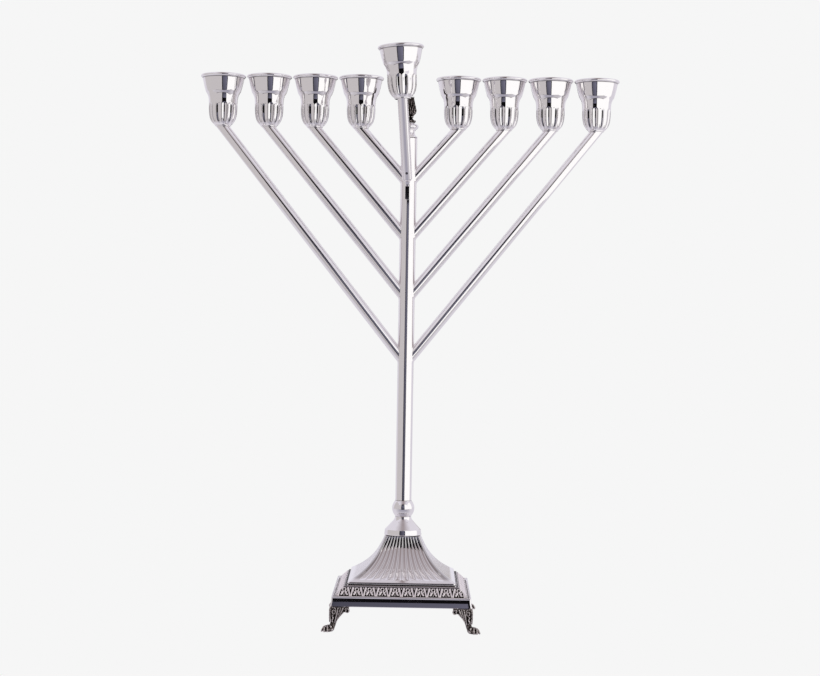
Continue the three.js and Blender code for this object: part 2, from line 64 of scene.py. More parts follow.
# %% Camera
LENS_MM = 74.6
CAMERA_PLACE = Vector((0.0101, -1.312, 0.2301))
CAMERA_PAN = 0.306  # degrees, all three small
CAMERA_TILT = -0.52
CAMERA_ROLL = 0.936

camera_data = bpy.data.cameras.new("studio_camera")
camera_data.lens = LENS_MM
camera_data.clip_start = 0.05
camera_data.clip_end = 50
camera = bpy.data.objects.new("studio_camera", camera_data)
scene.collection.objects.link(camera)
pan = Matrix.Rotation(math.radians(CAMERA_PAN), 4, "Z")
tilt = Matrix.Rotation(math.radians(CAMERA_TILT), 4, "X")
roll = Matrix.Rotation(math.radians(-CAMERA_ROLL), 4, "Y")
level = Matrix.Rotation(math.radians(90), 4, "X")
camera.matrix_world = Matrix.Translation(CAMERA_PLACE) @ pan @ tilt @ roll @ level
bpy.context.scene.camera = camera
print("camera distance in millimetres:", round(-CAMERA_PLACE.y / MM))

# %% [markdown]
# ## Small helpers
# Colours are written as sRGB hex, the way a paint chart gives them, and turned to linear once. One
# function adds a node with its settings and links, and it serves shader and geometry trees alike.


# %% Colour and node helpers
def linear(hex_code):
    parts = [int(hex_code[i:i + 2], 16) / 255 for i in (0, 2, 4)]
    return tuple(p / 12.92 if p <= 0.04045 else ((p + 0.055) / 1.055) ** 2.4 for p in parts) + (1.0,)


def put(tree, kind, inputs=None, **settings):
    node = tree.nodes.new(kind)
    for key, value in settings.items():
        setattr(node, key, value)
    for key, value in (inputs or {}).items():
        if isinstance(value, bpy.types.NodeSocket):
            tree.links.new(value, node.inputs[key])
        else:
            node.inputs[key].default_value = value
    return node


def new_material(name):
    material = bpy.data.materials.new(name)
    material.use_nodes = True
    tree = material.node_tree
    tree.nodes.clear()
    return material, tree


# %% [markdown]
# ## Polished silver sheet
# Sterling or silver-plated sheet, raised and buffed with rouge. The eye sees a mirror with three faults
# of handwork: slow waves left by the buffing wheel, hair-thin wipe marks, and a faint haze where
# polish was not quite wiped off. The haze changes the roughness and the waves bend the reflections.

# %% Polished silver
WAVE_MM = 9.0  # from crest to crest of the buffing waves
HAIR_MM = 1.4  # between wipe marks
HAZE_MM = 16.0  # across a patch of haze


def silver_sheet(name, stretch, base_roughness, wave_height, crease_shade_strength=0.0):
    """Polished silver. Stretch is the (x, y, z) scale that draws the wipe marks out along a piece;
    the last number is how strongly painted shade darkens the creases."""
    material, tree = new_material(name)
    place = put(tree, "ShaderNodeTexCoord").outputs["Object"]
    haze = put(tree, "ShaderNodeTexNoise", {"Vector": place, "Scale": 1 / (HAZE_MM * MM), "Detail": 3.0})
    grain_place = put(tree, "ShaderNodeMapping", {"Vector": place, "Scale": stretch})
    grain = put(tree, "ShaderNodeTexNoise", {
        "Vector": grain_place.outputs["Vector"], "Scale": 1 / (HAIR_MM * MM), "Detail": 2.0})
    rough = put(tree, "ShaderNodeMapRange", {
        "Value": haze.outputs["Fac"], "From Min": 0.35, "From Max": 0.75,
        "To Min": base_roughness, "To Max": base_roughness + 0.035})
    hair = put(tree, "ShaderNodeMapRange", {
        "Value": grain.outputs["Fac"], "From Min": 0.55, "From Max": 0.8,
        "To Min": 0.0, "To Max": 0.03})
    total = put(tree, "ShaderNodeMath", {0: rough.outputs["Result"], 1: hair.outputs["Result"]},
                operation="ADD")
    colour = put(tree, "ShaderNodeMix", {
        "Factor": haze.outputs["Fac"], "A": linear("F6F3F2"), "B": linear("F0EDEE")}, data_type="RGBA")
    # Painted shade: creases are mixed towards a dark brown-grey, by the crease measure times the last
    # number.
    crease = put(tree, "ShaderNodeAttribute", attribute_name="crease", attribute_type="GEOMETRY")
    crease_shade_amount = put(tree, "ShaderNodeMath", {0: crease.outputs["Fac"], 1: crease_shade_strength}, operation="MULTIPLY")
    colour = put(tree, "ShaderNodeMix", {
        "Factor": crease_shade_amount.outputs[0], "A": colour.outputs["Result"], "B": linear("3A322F")},
        data_type="RGBA")
    wave = put(tree, "ShaderNodeTexNoise", {"Vector": place, "Scale": 1 / (WAVE_MM * MM), "Detail": 1.0})
    waves = put(tree, "ShaderNodeBump", {
        "Height": wave.outputs["Fac"], "Strength": 1.0, "Distance": wave_height})
    hairs = put(tree, "ShaderNodeBump", {
        "Height": grain.outputs["Fac"], "Strength": 0.1, "Distance": 0.004 * MM,
        "Normal": waves.outputs["Normal"]})
    shader = put(tree, "ShaderNodeBsdfPrincipled", {
        "Base Color": colour.outputs["Result"], "Metallic": 1.0, "Roughness": total.outputs[0],
        "Normal": hairs.outputs["Normal"]})
    put(tree, "ShaderNodeOutputMaterial", {"Surface": shader.outputs["BSDF"]})
    return material


# The last number of each is how strongly painted shade darkens the creases.
polished_cup = silver_sheet("polished_silver_spun", (0.25, 0.25, 3.0), 0.03, 0.03 * MM, 0.85)
polished_tube = silver_sheet("polished_silver_drawn_tube", (1.0, 1.0, 0.05), 0.04, 0.015 * MM)
polished_base = silver_sheet("polished_silver_pressed_sheet", (0.1, 1.0, 1.0), 0.04, 0.03 * MM, 0.4)
polished_skirt = silver_sheet("polished_silver_flat_sheet", (0.1, 0.1, 0.3), 0.03, 0.008 * MM)

# %% [markdown]
# ## Oxidised silver casting
# The castings and the die-struck border are dipped in liver of sulphur, which turns them black, and
# then buffed, which brings only the high points back to white metal. Each of these meshes carries a
# measure called relief, 0 in the deepest recess and 1 on the crests, and the finish follows it.


# %% Oxidised silver
PATCH_MM = 0.5  # across a patch of thicker or thinner oxide


def oxidised_silver(name, low, high, bright="E6DEDA"):
    """Oxide that is black where relief is under low, and buffed to bright metal above high."""
    material, tree = new_material(name)
    relief = put(tree, "ShaderNodeAttribute", attribute_name="relief", attribute_type="GEOMETRY")
    place = put(tree, "ShaderNodeTexCoord").outputs["Object"]
    grain = put(tree, "ShaderNodeTexNoise", {"Vector": place, "Scale": 1 / (PATCH_MM * MM), "Detail": 4.0})
    patchy = put(tree, "ShaderNodeMapRange", {
        "Value": grain.outputs["Fac"], "From Min": 0.3, "From Max": 0.7, "To Min": -0.16, "To Max": 0.16})
    worn = put(tree, "ShaderNodeMath", {0: relief.outputs["Fac"], 1: patchy.outputs["Result"]},
               operation="ADD")
    shine = put(tree, "ShaderNodeMapRange", {
        "Value": worn.outputs[0], "From Min": low, "From Max": high},
        interpolation_type="SMOOTHSTEP")
    colour = put(tree, "ShaderNodeValToRGB", {"Fac": shine.outputs["Result"]})
    ramp = colour.color_ramp
    ramp.elements[0].color = linear("17130F")
    ramp.elements[1].color = linear(bright)
    middle = ramp.elements.new(0.45)
    middle.color = linear("6B615C")
    rough = put(tree, "ShaderNodeMapRange", {
        "Value": shine.outputs["Result"], "To Min": 0.42, "To Max": 0.16})
    pits = put(tree, "ShaderNodeBump", {
        "Height": grain.outputs["Fac"], "Strength": 0.35, "Distance": 0.05 * MM})
    shader = put(tree, "ShaderNodeBsdfPrincipled", {
        "Base Color": colour.outputs["Color"], "Metallic": 1.0, "Roughness": rough.outputs["Result"],
        "Normal": pits.outputs["Normal"]})
    put(tree, "ShaderNodeOutputMaterial", {"Surface": shader.outputs["BSDF"]})
    return material


oxidised_border = oxidised_silver("oxidised_silver_die_struck", 0.15, 0.68, "EEE7E7")
oxidised_casting = oxidised_silver("oxidised_silver_cast", 0.38, 0.8)
oxidised_finial = oxidised_silver("oxidised_silver_finial", 0.52, 0.98)

# %% [markdown]
# ## Turned brass
# The screws, the rod and its nut are lathe-turned brass, left as they came off the tool: fine rings
# of tool marks and a dull yellow.


# %% Turned brass
TOOL_MARK_MM = 0.4


def turned_brass():
    material, tree = new_material("turned_brass")
    place = put(tree, "ShaderNodeTexCoord").outputs["Object"]
    marks = put(tree, "ShaderNodeTexNoise", {
        "Vector": place, "Scale": 1 / (TOOL_MARK_MM * MM), "Detail": 2.0})
    rough = put(tree, "ShaderNodeMapRange", {
        "Value": marks.outputs["Fac"], "From Min": 0.3, "From Max": 0.7, "To Min": 0.24, "To Max": 0.4})
    colour = put(tree, "ShaderNodeMix", {
        "Factor": marks.outputs["Fac"], "A": linear("CFAE6A"), "B": linear("B8924C")}, data_type="RGBA")
    bump = put(tree, "ShaderNodeBump", {
        "Height": marks.outputs["Fac"], "Strength": 0.3, "Distance": 0.02 * MM})
    shader = put(tree, "ShaderNodeBsdfPrincipled", {
        "Base Color": colour.outputs["Result"], "Metallic": 1.0, "Roughness": rough.outputs["Result"],
        "Normal": bump.outputs["Normal"]})
    put(tree, "ShaderNodeOutputMaterial", {"Surface": shader.outputs["BSDF"]})
    return material


brass = turned_brass()
for name, cad_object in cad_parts.items():
    cad_object.data.materials.clear()
    cad_object.data.materials.append(brass)

# %% [markdown]
# ## Skinning rings
# Nearly every piece is a stack of rings: a cup is a stack of circles, a base is a stack of squares.
# One helper skins such a stack into a closed mesh. Curves in a profile are drawn through a few chosen
# points, with a corner wherever one list of points ends and the next begins.


# %% Mesh helpers
def finished(name, mesh, material, replaced, body=LAMP):
    """Lifts a mesh from the datum plane, and hands it over as one finished piece."""
    mesh.transform(Matrix.Translation((0, 0, DATUM * MM)))
    piece = bpy.data.objects.new(name, mesh)
    scene.collection.objects.link(piece)
    if material is not None:
        mesh.materials.clear()
        mesh.materials.append(material)
    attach(piece, body)
    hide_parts(*replaced)
    return piece


def write_measure(mesh, name, numbers):
    """Gives every point of a mesh a number, which trees and finishes read."""
    attribute = mesh.attributes.new(name, "FLOAT", "POINT")
    attribute.data.foreach_set("value", np.asarray(numbers, np.float32).ravel())


def shaded(mesh, sharp_degrees=40):
    """Smooth shading, with an edge wherever two faces meet at more than the given angle."""
    mesh.shade_smooth()
    mesh.set_sharp_from_angle(angle=math.radians(sharp_degrees))
    return mesh


def faced_out(work, mesh):
    """Turns every face of the work to point out, and writes it to the mesh."""
    bmesh.ops.recalc_face_normals(work, faces=work.faces)
    if work.calc_volume(signed=True) < 0:
        bmesh.ops.reverse_faces(work, faces=work.faces)
    work.to_mesh(mesh)
    work.free()
    return mesh


def skin(name, rings, ring_shaped=False, sharp_degrees=40, values=None):
    """A closed mesh from rings of equal length, in millimetres; ring_shaped joins the last to the first.
    values maps an attribute's name to one number for each point."""
    stack = np.array(rings, float)
    levels, count = stack.shape[:2]
    points = stack.reshape(-1, 3)
    spans = levels if ring_shaped else levels - 1
    i, j = np.meshgrid(np.arange(spans), np.arange(count), indexing="ij")
    below, above = i * count, (i + 1) % levels * count
    nxt = (j + 1) % count
    quads = np.stack([below + j, below + nxt, above + nxt, above + j], -1).reshape(-1, 4)
    faces = quads.tolist()
    if not ring_shaped:
        faces.append(list(range(count))[::-1])
        faces.append(list(range((levels - 1) * count, levels * count)))
    mesh = bpy.data.meshes.new(name)
    mesh.from_pydata((points * MM).tolist(), [], faces)
    for measure, numbers in (values or {}).items():
        write_measure(mesh, measure, numbers)
    work = bmesh.new()
    work.from_mesh(mesh)
    bmesh.ops.remove_doubles(work, verts=work.verts, dist=1e-7)
    return shaded(faced_out(work, mesh), sharp_degrees)


def through(points, steps=6):
    """A smooth curve through the points (Catmull-Rom), with the given steps between neighbours."""
    p = np.array(points, float)
    if len(p) == 2:
        return [p[0] + (p[1] - p[0]) * s / steps for s in range(steps + 1)]
    padded = np.vstack([2 * p[0] - p[1], p, 2 * p[-1] - p[-2]])
    curve = []
    for k in range(len(p) - 1):
        a, b, c, d = padded[k:k + 4]
        for s in range(steps):
            t = s / steps
            curve.append(0.5 * (2 * b + (c - a) * t + (2 * a - 5 * b + 4 * c - d) * t ** 2
                                + (3 * b - a - 3 * c + d) * t ** 3))
    return curve + [p[-1]]


def profile(*stretches, steps=6):
    """Joins smooth stretches end to end, with a corner between them."""
    whole = []
    for stretch in stretches:
        whole += through(stretch, steps)
    kept = [whole[0]]
    for point in whole[1:]:
        if np.linalg.norm(point - kept[-1]) > 1e-6:
            kept.append(point)
    return kept


def full_turn(count):
    """Even angles once round, in radians."""
    return np.linspace(0, 2 * math.pi, count, endpoint=False)


def circles(outline, count=96):
    """Level rings about the Z axis from (radius, height) pairs."""
    turn = full_turn(count)
    return [np.stack([r * np.cos(turn), r * np.sin(turn), np.full(count, z)], -1) for r, z in outline]


def moved(rings, offset, lean_degrees=0.0):
    """Rings leaned about the Y axis and then shifted, in millimetres."""
    turn = np.array(Matrix.Rotation(math.radians(lean_degrees), 3, "Y"))
    return [np.asarray(ring) @ turn.T + np.array(offset) for ring in rings]


# %% [markdown]
# ## Baking a node tree
# A Geometry Nodes tree is attached as a modifier, its named inputs are filled in, and the result is
# copied off as a plain mesh, so nothing live is left on the finished piece.


# %% Geometry Nodes helpers
def new_tree(name, inputs):
    """An empty geometry tree with named inputs, {name: (socket type, default)}, and its input sockets."""
    tree = bpy.data.node_groups.new(name, "GeometryNodeTree")
    tree.interface.new_socket("Geometry", in_out="INPUT", socket_type="NodeSocketGeometry")
    for label, (kind, value) in inputs.items():
        socket = tree.interface.new_socket(label, in_out="INPUT", socket_type=kind)
        if value is not None:
            socket.default_value = value
    tree.interface.new_socket("Geometry", in_out="OUTPUT", socket_type="NodeSocketGeometry")
    return tree, tree.nodes.new("NodeGroupInput").outputs


def hidden_object(name, mesh):
    """An object that only trees and modifiers read; it is removed once they have run."""
    helper = bpy.data.objects.new(name, mesh)
    scene.collection.objects.link(helper)
    helper.hide_render = True
    return helper


def plain_mesh(carrier, name):
    """The carrier's mesh with its modifiers run, as a new plain mesh; the carrier is removed."""
    graph = bpy.context.evaluated_depsgraph_get()
    result = bpy.data.meshes.new_from_object(carrier.evaluated_get(graph))
    source = carrier.data
    bpy.data.objects.remove(carrier)
    bpy.data.meshes.remove(source)
    result.name = name
    return result


def bake(name, mesh, tree, values):
    """Runs a tree on a mesh and returns the result as a new plain mesh."""
    carrier = hidden_object("carrier", mesh)
    modifier = carrier.modifiers.new("tree", "NODES")
    modifier.node_group = tree
    for item in tree.interface.items_tree:
        if item.in_out == "INPUT" and item.name in values:
            modifier[item.identifier] = values[item.name]
    carrier.update_tag()
    return plain_mesh(carrier, name)


def cut_by(name, blank, tool):
    """The blank mesh with the tool mesh cut out of it."""
    carrier = hidden_object("blank", blank)
    saw = hidden_object("tool", tool)
    cutter = carrier.modifiers.new("cut", "BOOLEAN")
    cutter.object = saw
    cutter.operation = "DIFFERENCE"
    cutter.solver = "EXACT"
    result = plain_mesh(carrier, name)
    bpy.data.objects.remove(saw)
    return shaded(result)


# %% [markdown]
# ## Pressed flutes
# On the real lamp a steel die presses hollow flutes into the sheet, twelve on each face of the base
# and a ring of them round the foot of every cup. Both follow one rule, so one tree makes both. Each
# point of the plain sheet knows how far it is across the fluted field and how far along it, and the
# tree sinks it along its own normal by a hollow, round-ended channel.


# %% The flute tree
def flute_tree():
    tree, field = new_tree("pressed_flutes", {
        "Flutes": ("NodeSocketFloat", 12.0),
        "Depth": ("NodeSocketFloat", 0.001),
        "Start": ("NodeSocketFloat", 0.0),
        "End": ("NodeSocketFloat", 1.0),
        "Start Round": ("NodeSocketFloat", 0.05),
        "End Round": ("NodeSocketFloat", 0.05),
        "Flatness": ("NodeSocketFloat", 2.0),
        "Finish": ("NodeSocketMaterial", None),
    })
    across = put(tree, "GeometryNodeInputNamedAttribute", {"Name": "across"}, data_type="FLOAT")
    along = put(tree, "GeometryNodeInputNamedAttribute", {"Name": "along"}, data_type="FLOAT")
    scaled = put(tree, "ShaderNodeMath", {0: across.outputs["Attribute"], 1: field["Flutes"]},
                 operation="MULTIPLY")
    phase = put(tree, "ShaderNodeMath", {0: scaled.outputs[0]}, operation="FRACT")
    side = put(tree, "ShaderNodeMath", {0: phase.outputs[0], 1: 2.0, 2: -1.0}, operation="MULTIPLY_ADD")
    off_middle = put(tree, "ShaderNodeMath", {0: side.outputs[0]}, operation="ABSOLUTE")
    wall = put(tree, "ShaderNodeMath", {0: off_middle.outputs[0], 1: field["Flatness"]}, operation="POWER")
    start_inner = put(tree, "ShaderNodeMath", {0: field["Start"], 1: field["Start Round"]}, operation="ADD")
    start_reach = put(tree, "ShaderNodeMath", {0: start_inner.outputs[0], 1: along.outputs["Attribute"]},
                      operation="SUBTRACT")
    start_part = put(tree, "ShaderNodeMath", {0: start_reach.outputs[0], 1: field["Start Round"]},
                     operation="DIVIDE")
    end_inner = put(tree, "ShaderNodeMath", {0: field["End"], 1: field["End Round"]}, operation="SUBTRACT")
    end_reach = put(tree, "ShaderNodeMath", {0: along.outputs["Attribute"], 1: end_inner.outputs[0]},
                    operation="SUBTRACT")
    end_part = put(tree, "ShaderNodeMath", {0: end_reach.outputs[0], 1: field["End Round"]},
                   operation="DIVIDE")
    nearest = put(tree, "ShaderNodeMath", {0: start_part.outputs[0], 1: end_part.outputs[0]},
                  operation="MAXIMUM")
    cap = put(tree, "ShaderNodeClamp", {"Value": nearest.outputs[0], "Min": 0.0, "Max": 1.0})
    cap_squared = put(tree, "ShaderNodeMath", {0: cap.outputs[0], 1: 2.0}, operation="POWER")
    lost = put(tree, "ShaderNodeMath", {0: cap_squared.outputs[0], 1: wall.outputs[0]},
               operation="ADD")
    hollow = put(tree, "ShaderNodeMath", {0: 1.0, 1: lost.outputs[0]}, operation="SUBTRACT")
    kept = put(tree, "ShaderNodeMath", {0: hollow.outputs[0], 1: 0.0}, operation="MAXIMUM")
    share = put(tree, "GeometryNodeInputNamedAttribute", {"Name": "flute_share"}, data_type="FLOAT")
    sized = put(tree, "ShaderNodeMath", {0: kept.outputs[0], 1: share.outputs["Attribute"]},
                operation="MULTIPLY")
    sink = put(tree, "ShaderNodeMath", {0: sized.outputs[0], 1: field["Depth"]}, operation="MULTIPLY")
    inward = put(tree, "ShaderNodeMath", {0: sink.outputs[0], 1: -1.0}, operation="MULTIPLY")
    normal = put(tree, "GeometryNodeInputNormal")
    push = put(tree, "ShaderNodeVectorMath", {0: normal.outputs[0], "Scale": inward.outputs[0]},
               operation="SCALE")
    pressed = put(tree, "GeometryNodeSetPosition", {
        "Geometry": field["Geometry"], "Offset": push.outputs[0]})
    # Painted shade: the finish is darkened along the crease between neighbouring hollows, and a cup's
    # painted shade line under the rim is kept with it.
    between = put(tree, "ShaderNodeMath", {0: off_middle.outputs[0], 1: 9.0}, operation="POWER")
    inside = put(tree, "ShaderNodeMath", {0: 1.0, 1: cap.outputs[0]}, operation="SUBTRACT")
    flute_crease_shade = put(tree, "ShaderNodeMath", {0: between.outputs[0], 1: inside.outputs[0]},
                         operation="MULTIPLY")
    rim_line_shade = put(tree, "GeometryNodeInputNamedAttribute", {"Name": "crease"}, data_type="FLOAT")
    crease = put(tree, "ShaderNodeMath", {
        0: flute_crease_shade.outputs[0], 1: rim_line_shade.outputs["Attribute"]}, operation="MAXIMUM")
    marked = put(tree, "GeometryNodeStoreNamedAttribute", {
        "Geometry": pressed.outputs[0], "Name": "crease", "Value": crease.outputs[0]},
        data_type="FLOAT", domain="POINT")
    real = put(tree, "GeometryNodeRealizeInstances", {"Geometry": marked.outputs[0]})
    painted = put(tree, "GeometryNodeSetMaterial", {
        "Geometry": real.outputs[0], "Material": field["Finish"]})
    put(tree, "NodeGroupOutput", {0: painted.outputs[0]})
    return tree


pressed_flutes = flute_tree()
print("flute tree inputs:", [item.name for item in pressed_flutes.interface.items_tree])

# %% [markdown]
# ## Copies along a row and on points
# The border's leaf tile is struck again and again along a strip, and the same screw sits in every cup.
# The first tree repeats a shape along a straight row; the second puts one copy on each point of a mesh.


# %% The row tree and the copies tree
def row_tree():
    tree, given = new_tree("struck_row", {
        "Tile": ("NodeSocketObject", None),
        "Count": ("NodeSocketInt", 10),
        "First": ("NodeSocketVector", (0.0, 0.0, 0.0)),
        "Pitch": ("NodeSocketVector", (0.01, 0.0, 0.0)),
        "Finish": ("NodeSocketMaterial", None),
    })
    line = put(tree, "GeometryNodeMeshLine", {
        "Count": given["Count"], "Start Location": given["First"],
        "Offset": given["Pitch"]}, mode="OFFSET", count_mode="TOTAL")
    tile = put(tree, "GeometryNodeObjectInfo", {"Object": given["Tile"]})
    copies = put(tree, "GeometryNodeInstanceOnPoints", {
        "Points": line.outputs["Mesh"], "Instance": tile.outputs["Geometry"]})
    real = put(tree, "GeometryNodeRealizeInstances", {"Geometry": copies.outputs["Instances"]})
    joined = put(tree, "GeometryNodeMergeByDistance", {"Geometry": real.outputs[0], "Distance": 0.01 * MM})
    painted = put(tree, "GeometryNodeSetMaterial", {
        "Geometry": joined.outputs[0], "Material": given["Finish"]})
    put(tree, "NodeGroupOutput", {0: painted.outputs[0]})
    return tree


def copies_tree():
    tree, given = new_tree("copies_on_points", {
        "Copy": ("NodeSocketObject", None),
        "Lean": ("NodeSocketFloat", 0.0),
        "Finish": ("NodeSocketMaterial", None),
    })
    copy = put(tree, "GeometryNodeObjectInfo", {"Object": given["Copy"]})
    turn = put(tree, "GeometryNodeInputNamedAttribute", {"Name": "turn"}, data_type="FLOAT")
    angle = put(tree, "ShaderNodeCombineXYZ", {"Y": given["Lean"], "Z": turn.outputs["Attribute"]})
    copies = put(tree, "GeometryNodeInstanceOnPoints", {
        "Points": given["Geometry"], "Instance": copy.outputs["Geometry"],
        "Rotation": angle.outputs[0]})
    real = put(tree, "GeometryNodeRealizeInstances", {"Geometry": copies.outputs["Instances"]})
    painted = put(tree, "GeometryNodeSetMaterial", {
        "Geometry": real.outputs[0], "Material": given["Finish"]})
    put(tree, "NodeGroupOutput", {0: painted.outputs[0]})
    return tree


struck_row = row_tree()
copies_on_points = copies_tree()


def point_cloud(name, places, turns):
    """A mesh of loose points, in millimetres, each with a turn about Z in radians."""
    mesh = bpy.data.meshes.new(name)
    mesh.from_pydata((np.array(places, float) * MM).tolist(), [], [])
    write_measure(mesh, "turn", turns)
    return mesh


# %% [markdown]
# ## Where things are
# The few places that the pieces below share are read off the frame: cup seats, the stem's radius, the
# height of each part of the base.


# %% Places read from the frame
def span(node):
    """Lowest and highest corner of a node in millimetres, set out from the datum plane."""
    low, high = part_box(node)
    drop = np.array([0, 0, DATUM])
    return np.array(low) / MM - drop, np.array(high) / MM - drop


SIDES = ("left", "right")
CUP_NAMES = [f"{side}_{i}" for side in SIDES for i in range(1, 5)]
cup_seats = {}
for label in CUP_NAMES:
    low, high = span(f"cup_{label}")
    cup_seats[label] = np.array([(low[0] + high[0]) / 2, (low[1] + high[1]) / 2, low[2]])
SEAT_Z = cup_seats["left_1"][2]
CUP_HEIGHT = span("cup_left_1")[1][2] - SEAT_Z
STEM_LOW, STEM_HIGH = span("stem_tube")
STEM_RADIUS = (STEM_HIGH[0] - STEM_LOW[0]) / 2
GAP = 0.3  # the clearance that the model keeps between soldered pieces
print("cup seats at x:", sorted(round(float(seat[0]), 1) for seat in cup_seats.values()))

# %% [markdown]
# ## The cups
# Each cup is spun from sheet: a rolled rim, a bell with a small step a third of the way down, and a
# swelling foot with a ring of spoon-ended hollows pressed into it. The outside and the inside are
# one closed stack of rings, so the wall has a real thickness and the inside can be looked into.

# %% Cup mesh
CUP_FLUTES = 16
FLUTE_FIELD = (1.3, 17.6)  # heights above the seat where the hollows begin and end
DRAWN_HEIGHT = 39.5  # the profile is drawn this tall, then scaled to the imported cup
WIDEST_FOOT = 11  # radius at which the hollows reach their full depth
UNDER_RIM = 36.9  # height of the painted line of shade in the corner under the rim
UNDER_RIM_REACH = 0.55
UNDER_RIM_SHADE = 0.85
CUP_OUTSIDE = [
    [(1.6, 0), (5.7, 0)],
    [(5.7, 0), (6.15, 0.25), (6.2, 0.8)],
    [(6.2, 0.8), (8.2, 2.7), (9.55, 5), (10.45, 8), (10.9, 12), (11.0, 17), (11.05, 19.5), (11.25, 21.4),
     (11.7, 23.1), (12.2, 24.4), (12.75, 25.4), (13.3, 26.3), (13.65, 27.2), (14.0, 28.4),
     (14.65, 30.8), (15.2, 33.2), (15.65, 35.4), (15.95, 36.6), (16.4, 37.3), (17.0, 37.7)],
    [(17.0, 37.7), (17.25, 38.1), (17.25, 38.7), (16.95, 39.25), (16.4, 39.5), (15.9, 39.3), (15.6, 38.7)],
]
CUP_INSIDE = [
    [(15.6, 38.7), (14.9, 35.4), (14.1, 32), (13.0, 28), (11.8, 25.2), (10.5, 22.2), (10.15, 18),
     (10.05, 12), (9.4, 7.6), (7.8, 4), (6.0, 2.4), (4.6, 2.02)],
    [(4.6, 2.02), (1.6, 2)],
]


def cup_mesh(name, seat, lean_degrees=0.0):
    scale = CUP_HEIGHT / DRAWN_HEIGHT
    outline = np.array(profile(*CUP_OUTSIDE, *CUP_INSIDE, steps=7)) * [1.0, scale]
    outside_steps = len(profile(*CUP_OUTSIDE, steps=7))
    # The hollows need more rings than the rest of the bell.
    count = CUP_FLUTES * 12
    rings = circles(outline, count)
    level = np.repeat(outline[:, 1], count)
    low, high = FLUTE_FIELD
    outer = np.repeat(np.arange(len(outline)) < outside_steps, count)
    along = np.where(outer, (level - low) / (high - low), -1.0)
    across = np.tile(np.arange(count) / count, len(outline)).astype(float)
    share = np.repeat(np.clip(outline[:, 0] / WIDEST_FOOT, 0, 1), count)
    # Painted shade: a thin dark line in the corner under the rim.
    under_rim = np.clip(1 - np.abs(level - UNDER_RIM * scale) / UNDER_RIM_REACH, 0, 1) * UNDER_RIM_SHADE
    crease = np.where(outer, under_rim, 0.0)
    mesh = skin(name, moved(rings, seat, lean_degrees), ring_shaped=True, values={
        "across": across, "along": along, "flute_share": share, "crease": crease})
    return bake(name, mesh, pressed_flutes, {
        "Flutes": float(CUP_FLUTES), "Depth": 0.85 * MM, "Start": 0.0, "End": 1.0,
        "Start Round": 0.2, "End Round": 0.17, "Flatness": 2.0, "Finish": polished_cup})


for label, seat in cup_seats.items():
    finished(f"cup_{label}_polished", cup_mesh(f"cup_{label}_mesh", seat), None, [f"cup_{label}"])
print("cups made:", len(cup_seats))

# %% [markdown]
# The servant cup is the same cup on its own arm. It leans a few degrees, as an arm that has been
# lifted out and put back every night for years does.

# %% Servant cup
SERVANT_SEAT = np.array([-5.0, -43.5, 395.5])
SERVANT_LEAN = -3.0
servant_cup = cup_mesh("shamash_cup_mesh", SERVANT_SEAT, SERVANT_LEAN)
finished("shamash_cup_polished", servant_cup, None, ["shamash_cup"], body=SERVANT)

# %% [markdown]
# ## Branches
# Drawn tube, mitred at the top so that the cup sits level, and scooped at the bottom to fit the round
# stem. Each line along the tube is started where it meets the stem and ended at the cup's seat, so
# both cuts come out exact without any boolean.

# %% Branch tubes
BRANCH_TANS = dict(zip((37.5, 73.0, 108.5, 144.0), (0.89, 0.85, 0.825, 0.797)))  # run over rise
BRANCH_RADIUS = 4.15
TOUCH = 0.05  # a hair of room left between parts that are soldered


def branch_frame(x):
    """Start on the stem's axis, the direction of the tube, and two directions across it."""
    start = np.array([0.0, 0.0, SEAT_Z - abs(x) / BRANCH_TANS[round(abs(x), 1)]])
    end = np.array([x, 0.0, SEAT_Z])
    direction = (end - start) / np.linalg.norm(end - start)
    sideways = np.array([0.0, 1.0, 0.0])
    return start, direction, sideways, np.cross(direction, sideways)


def reach_to_stem(base, direction, radius):
    """How far along a line through base its distance from the stem's axis becomes radius."""
    a = direction[0] ** 2 + direction[1] ** 2
    b = 2 * (base[0] * direction[0] + base[1] * direction[1])
    c = base[0] ** 2 + base[1] ** 2 - radius ** 2
    return (-b + math.sqrt(b * b - 4 * a * c)) / (2 * a)


def branch_mesh(name, x, count=48, steps=40):
    start, direction, sideways, upright = branch_frame(x)
    lines = []
    for k in range(count):
        angle = 2 * math.pi * k / count
        base = start + BRANCH_RADIUS * (math.cos(angle) * sideways + math.sin(angle) * upright)
        near = reach_to_stem(base, direction, STEM_RADIUS + TOUCH)
        far = (SEAT_Z - TOUCH - base[2]) / direction[2]
        lines.append([base + direction * (near + (far - near) * s / steps) for s in range(steps + 1)])
    rings = np.array(lines).transpose(1, 0, 2)
    return skin(name, rings)


for label, seat in cup_seats.items():
    tube = branch_mesh(f"branch_{label}_mesh", seat[0])
    finished(f"branch_{label}_tube", tube, polished_tube, [f"branch_{label}"])

# %% [markdown]
# ## Solder fillets
# Where a branch meets the stem, hard solder has run into a small concave collar. The four pairs differ
# a little in slope, so one collar is swept for each pair, and the copies tree sets it on both sides.

# %% Solder fillets
FILLET = 0.75  # how far the solder reaches along the tube and along the stem
FILLET_ROOT = 0.3  # how far the collar is sunk into the tube and the stem


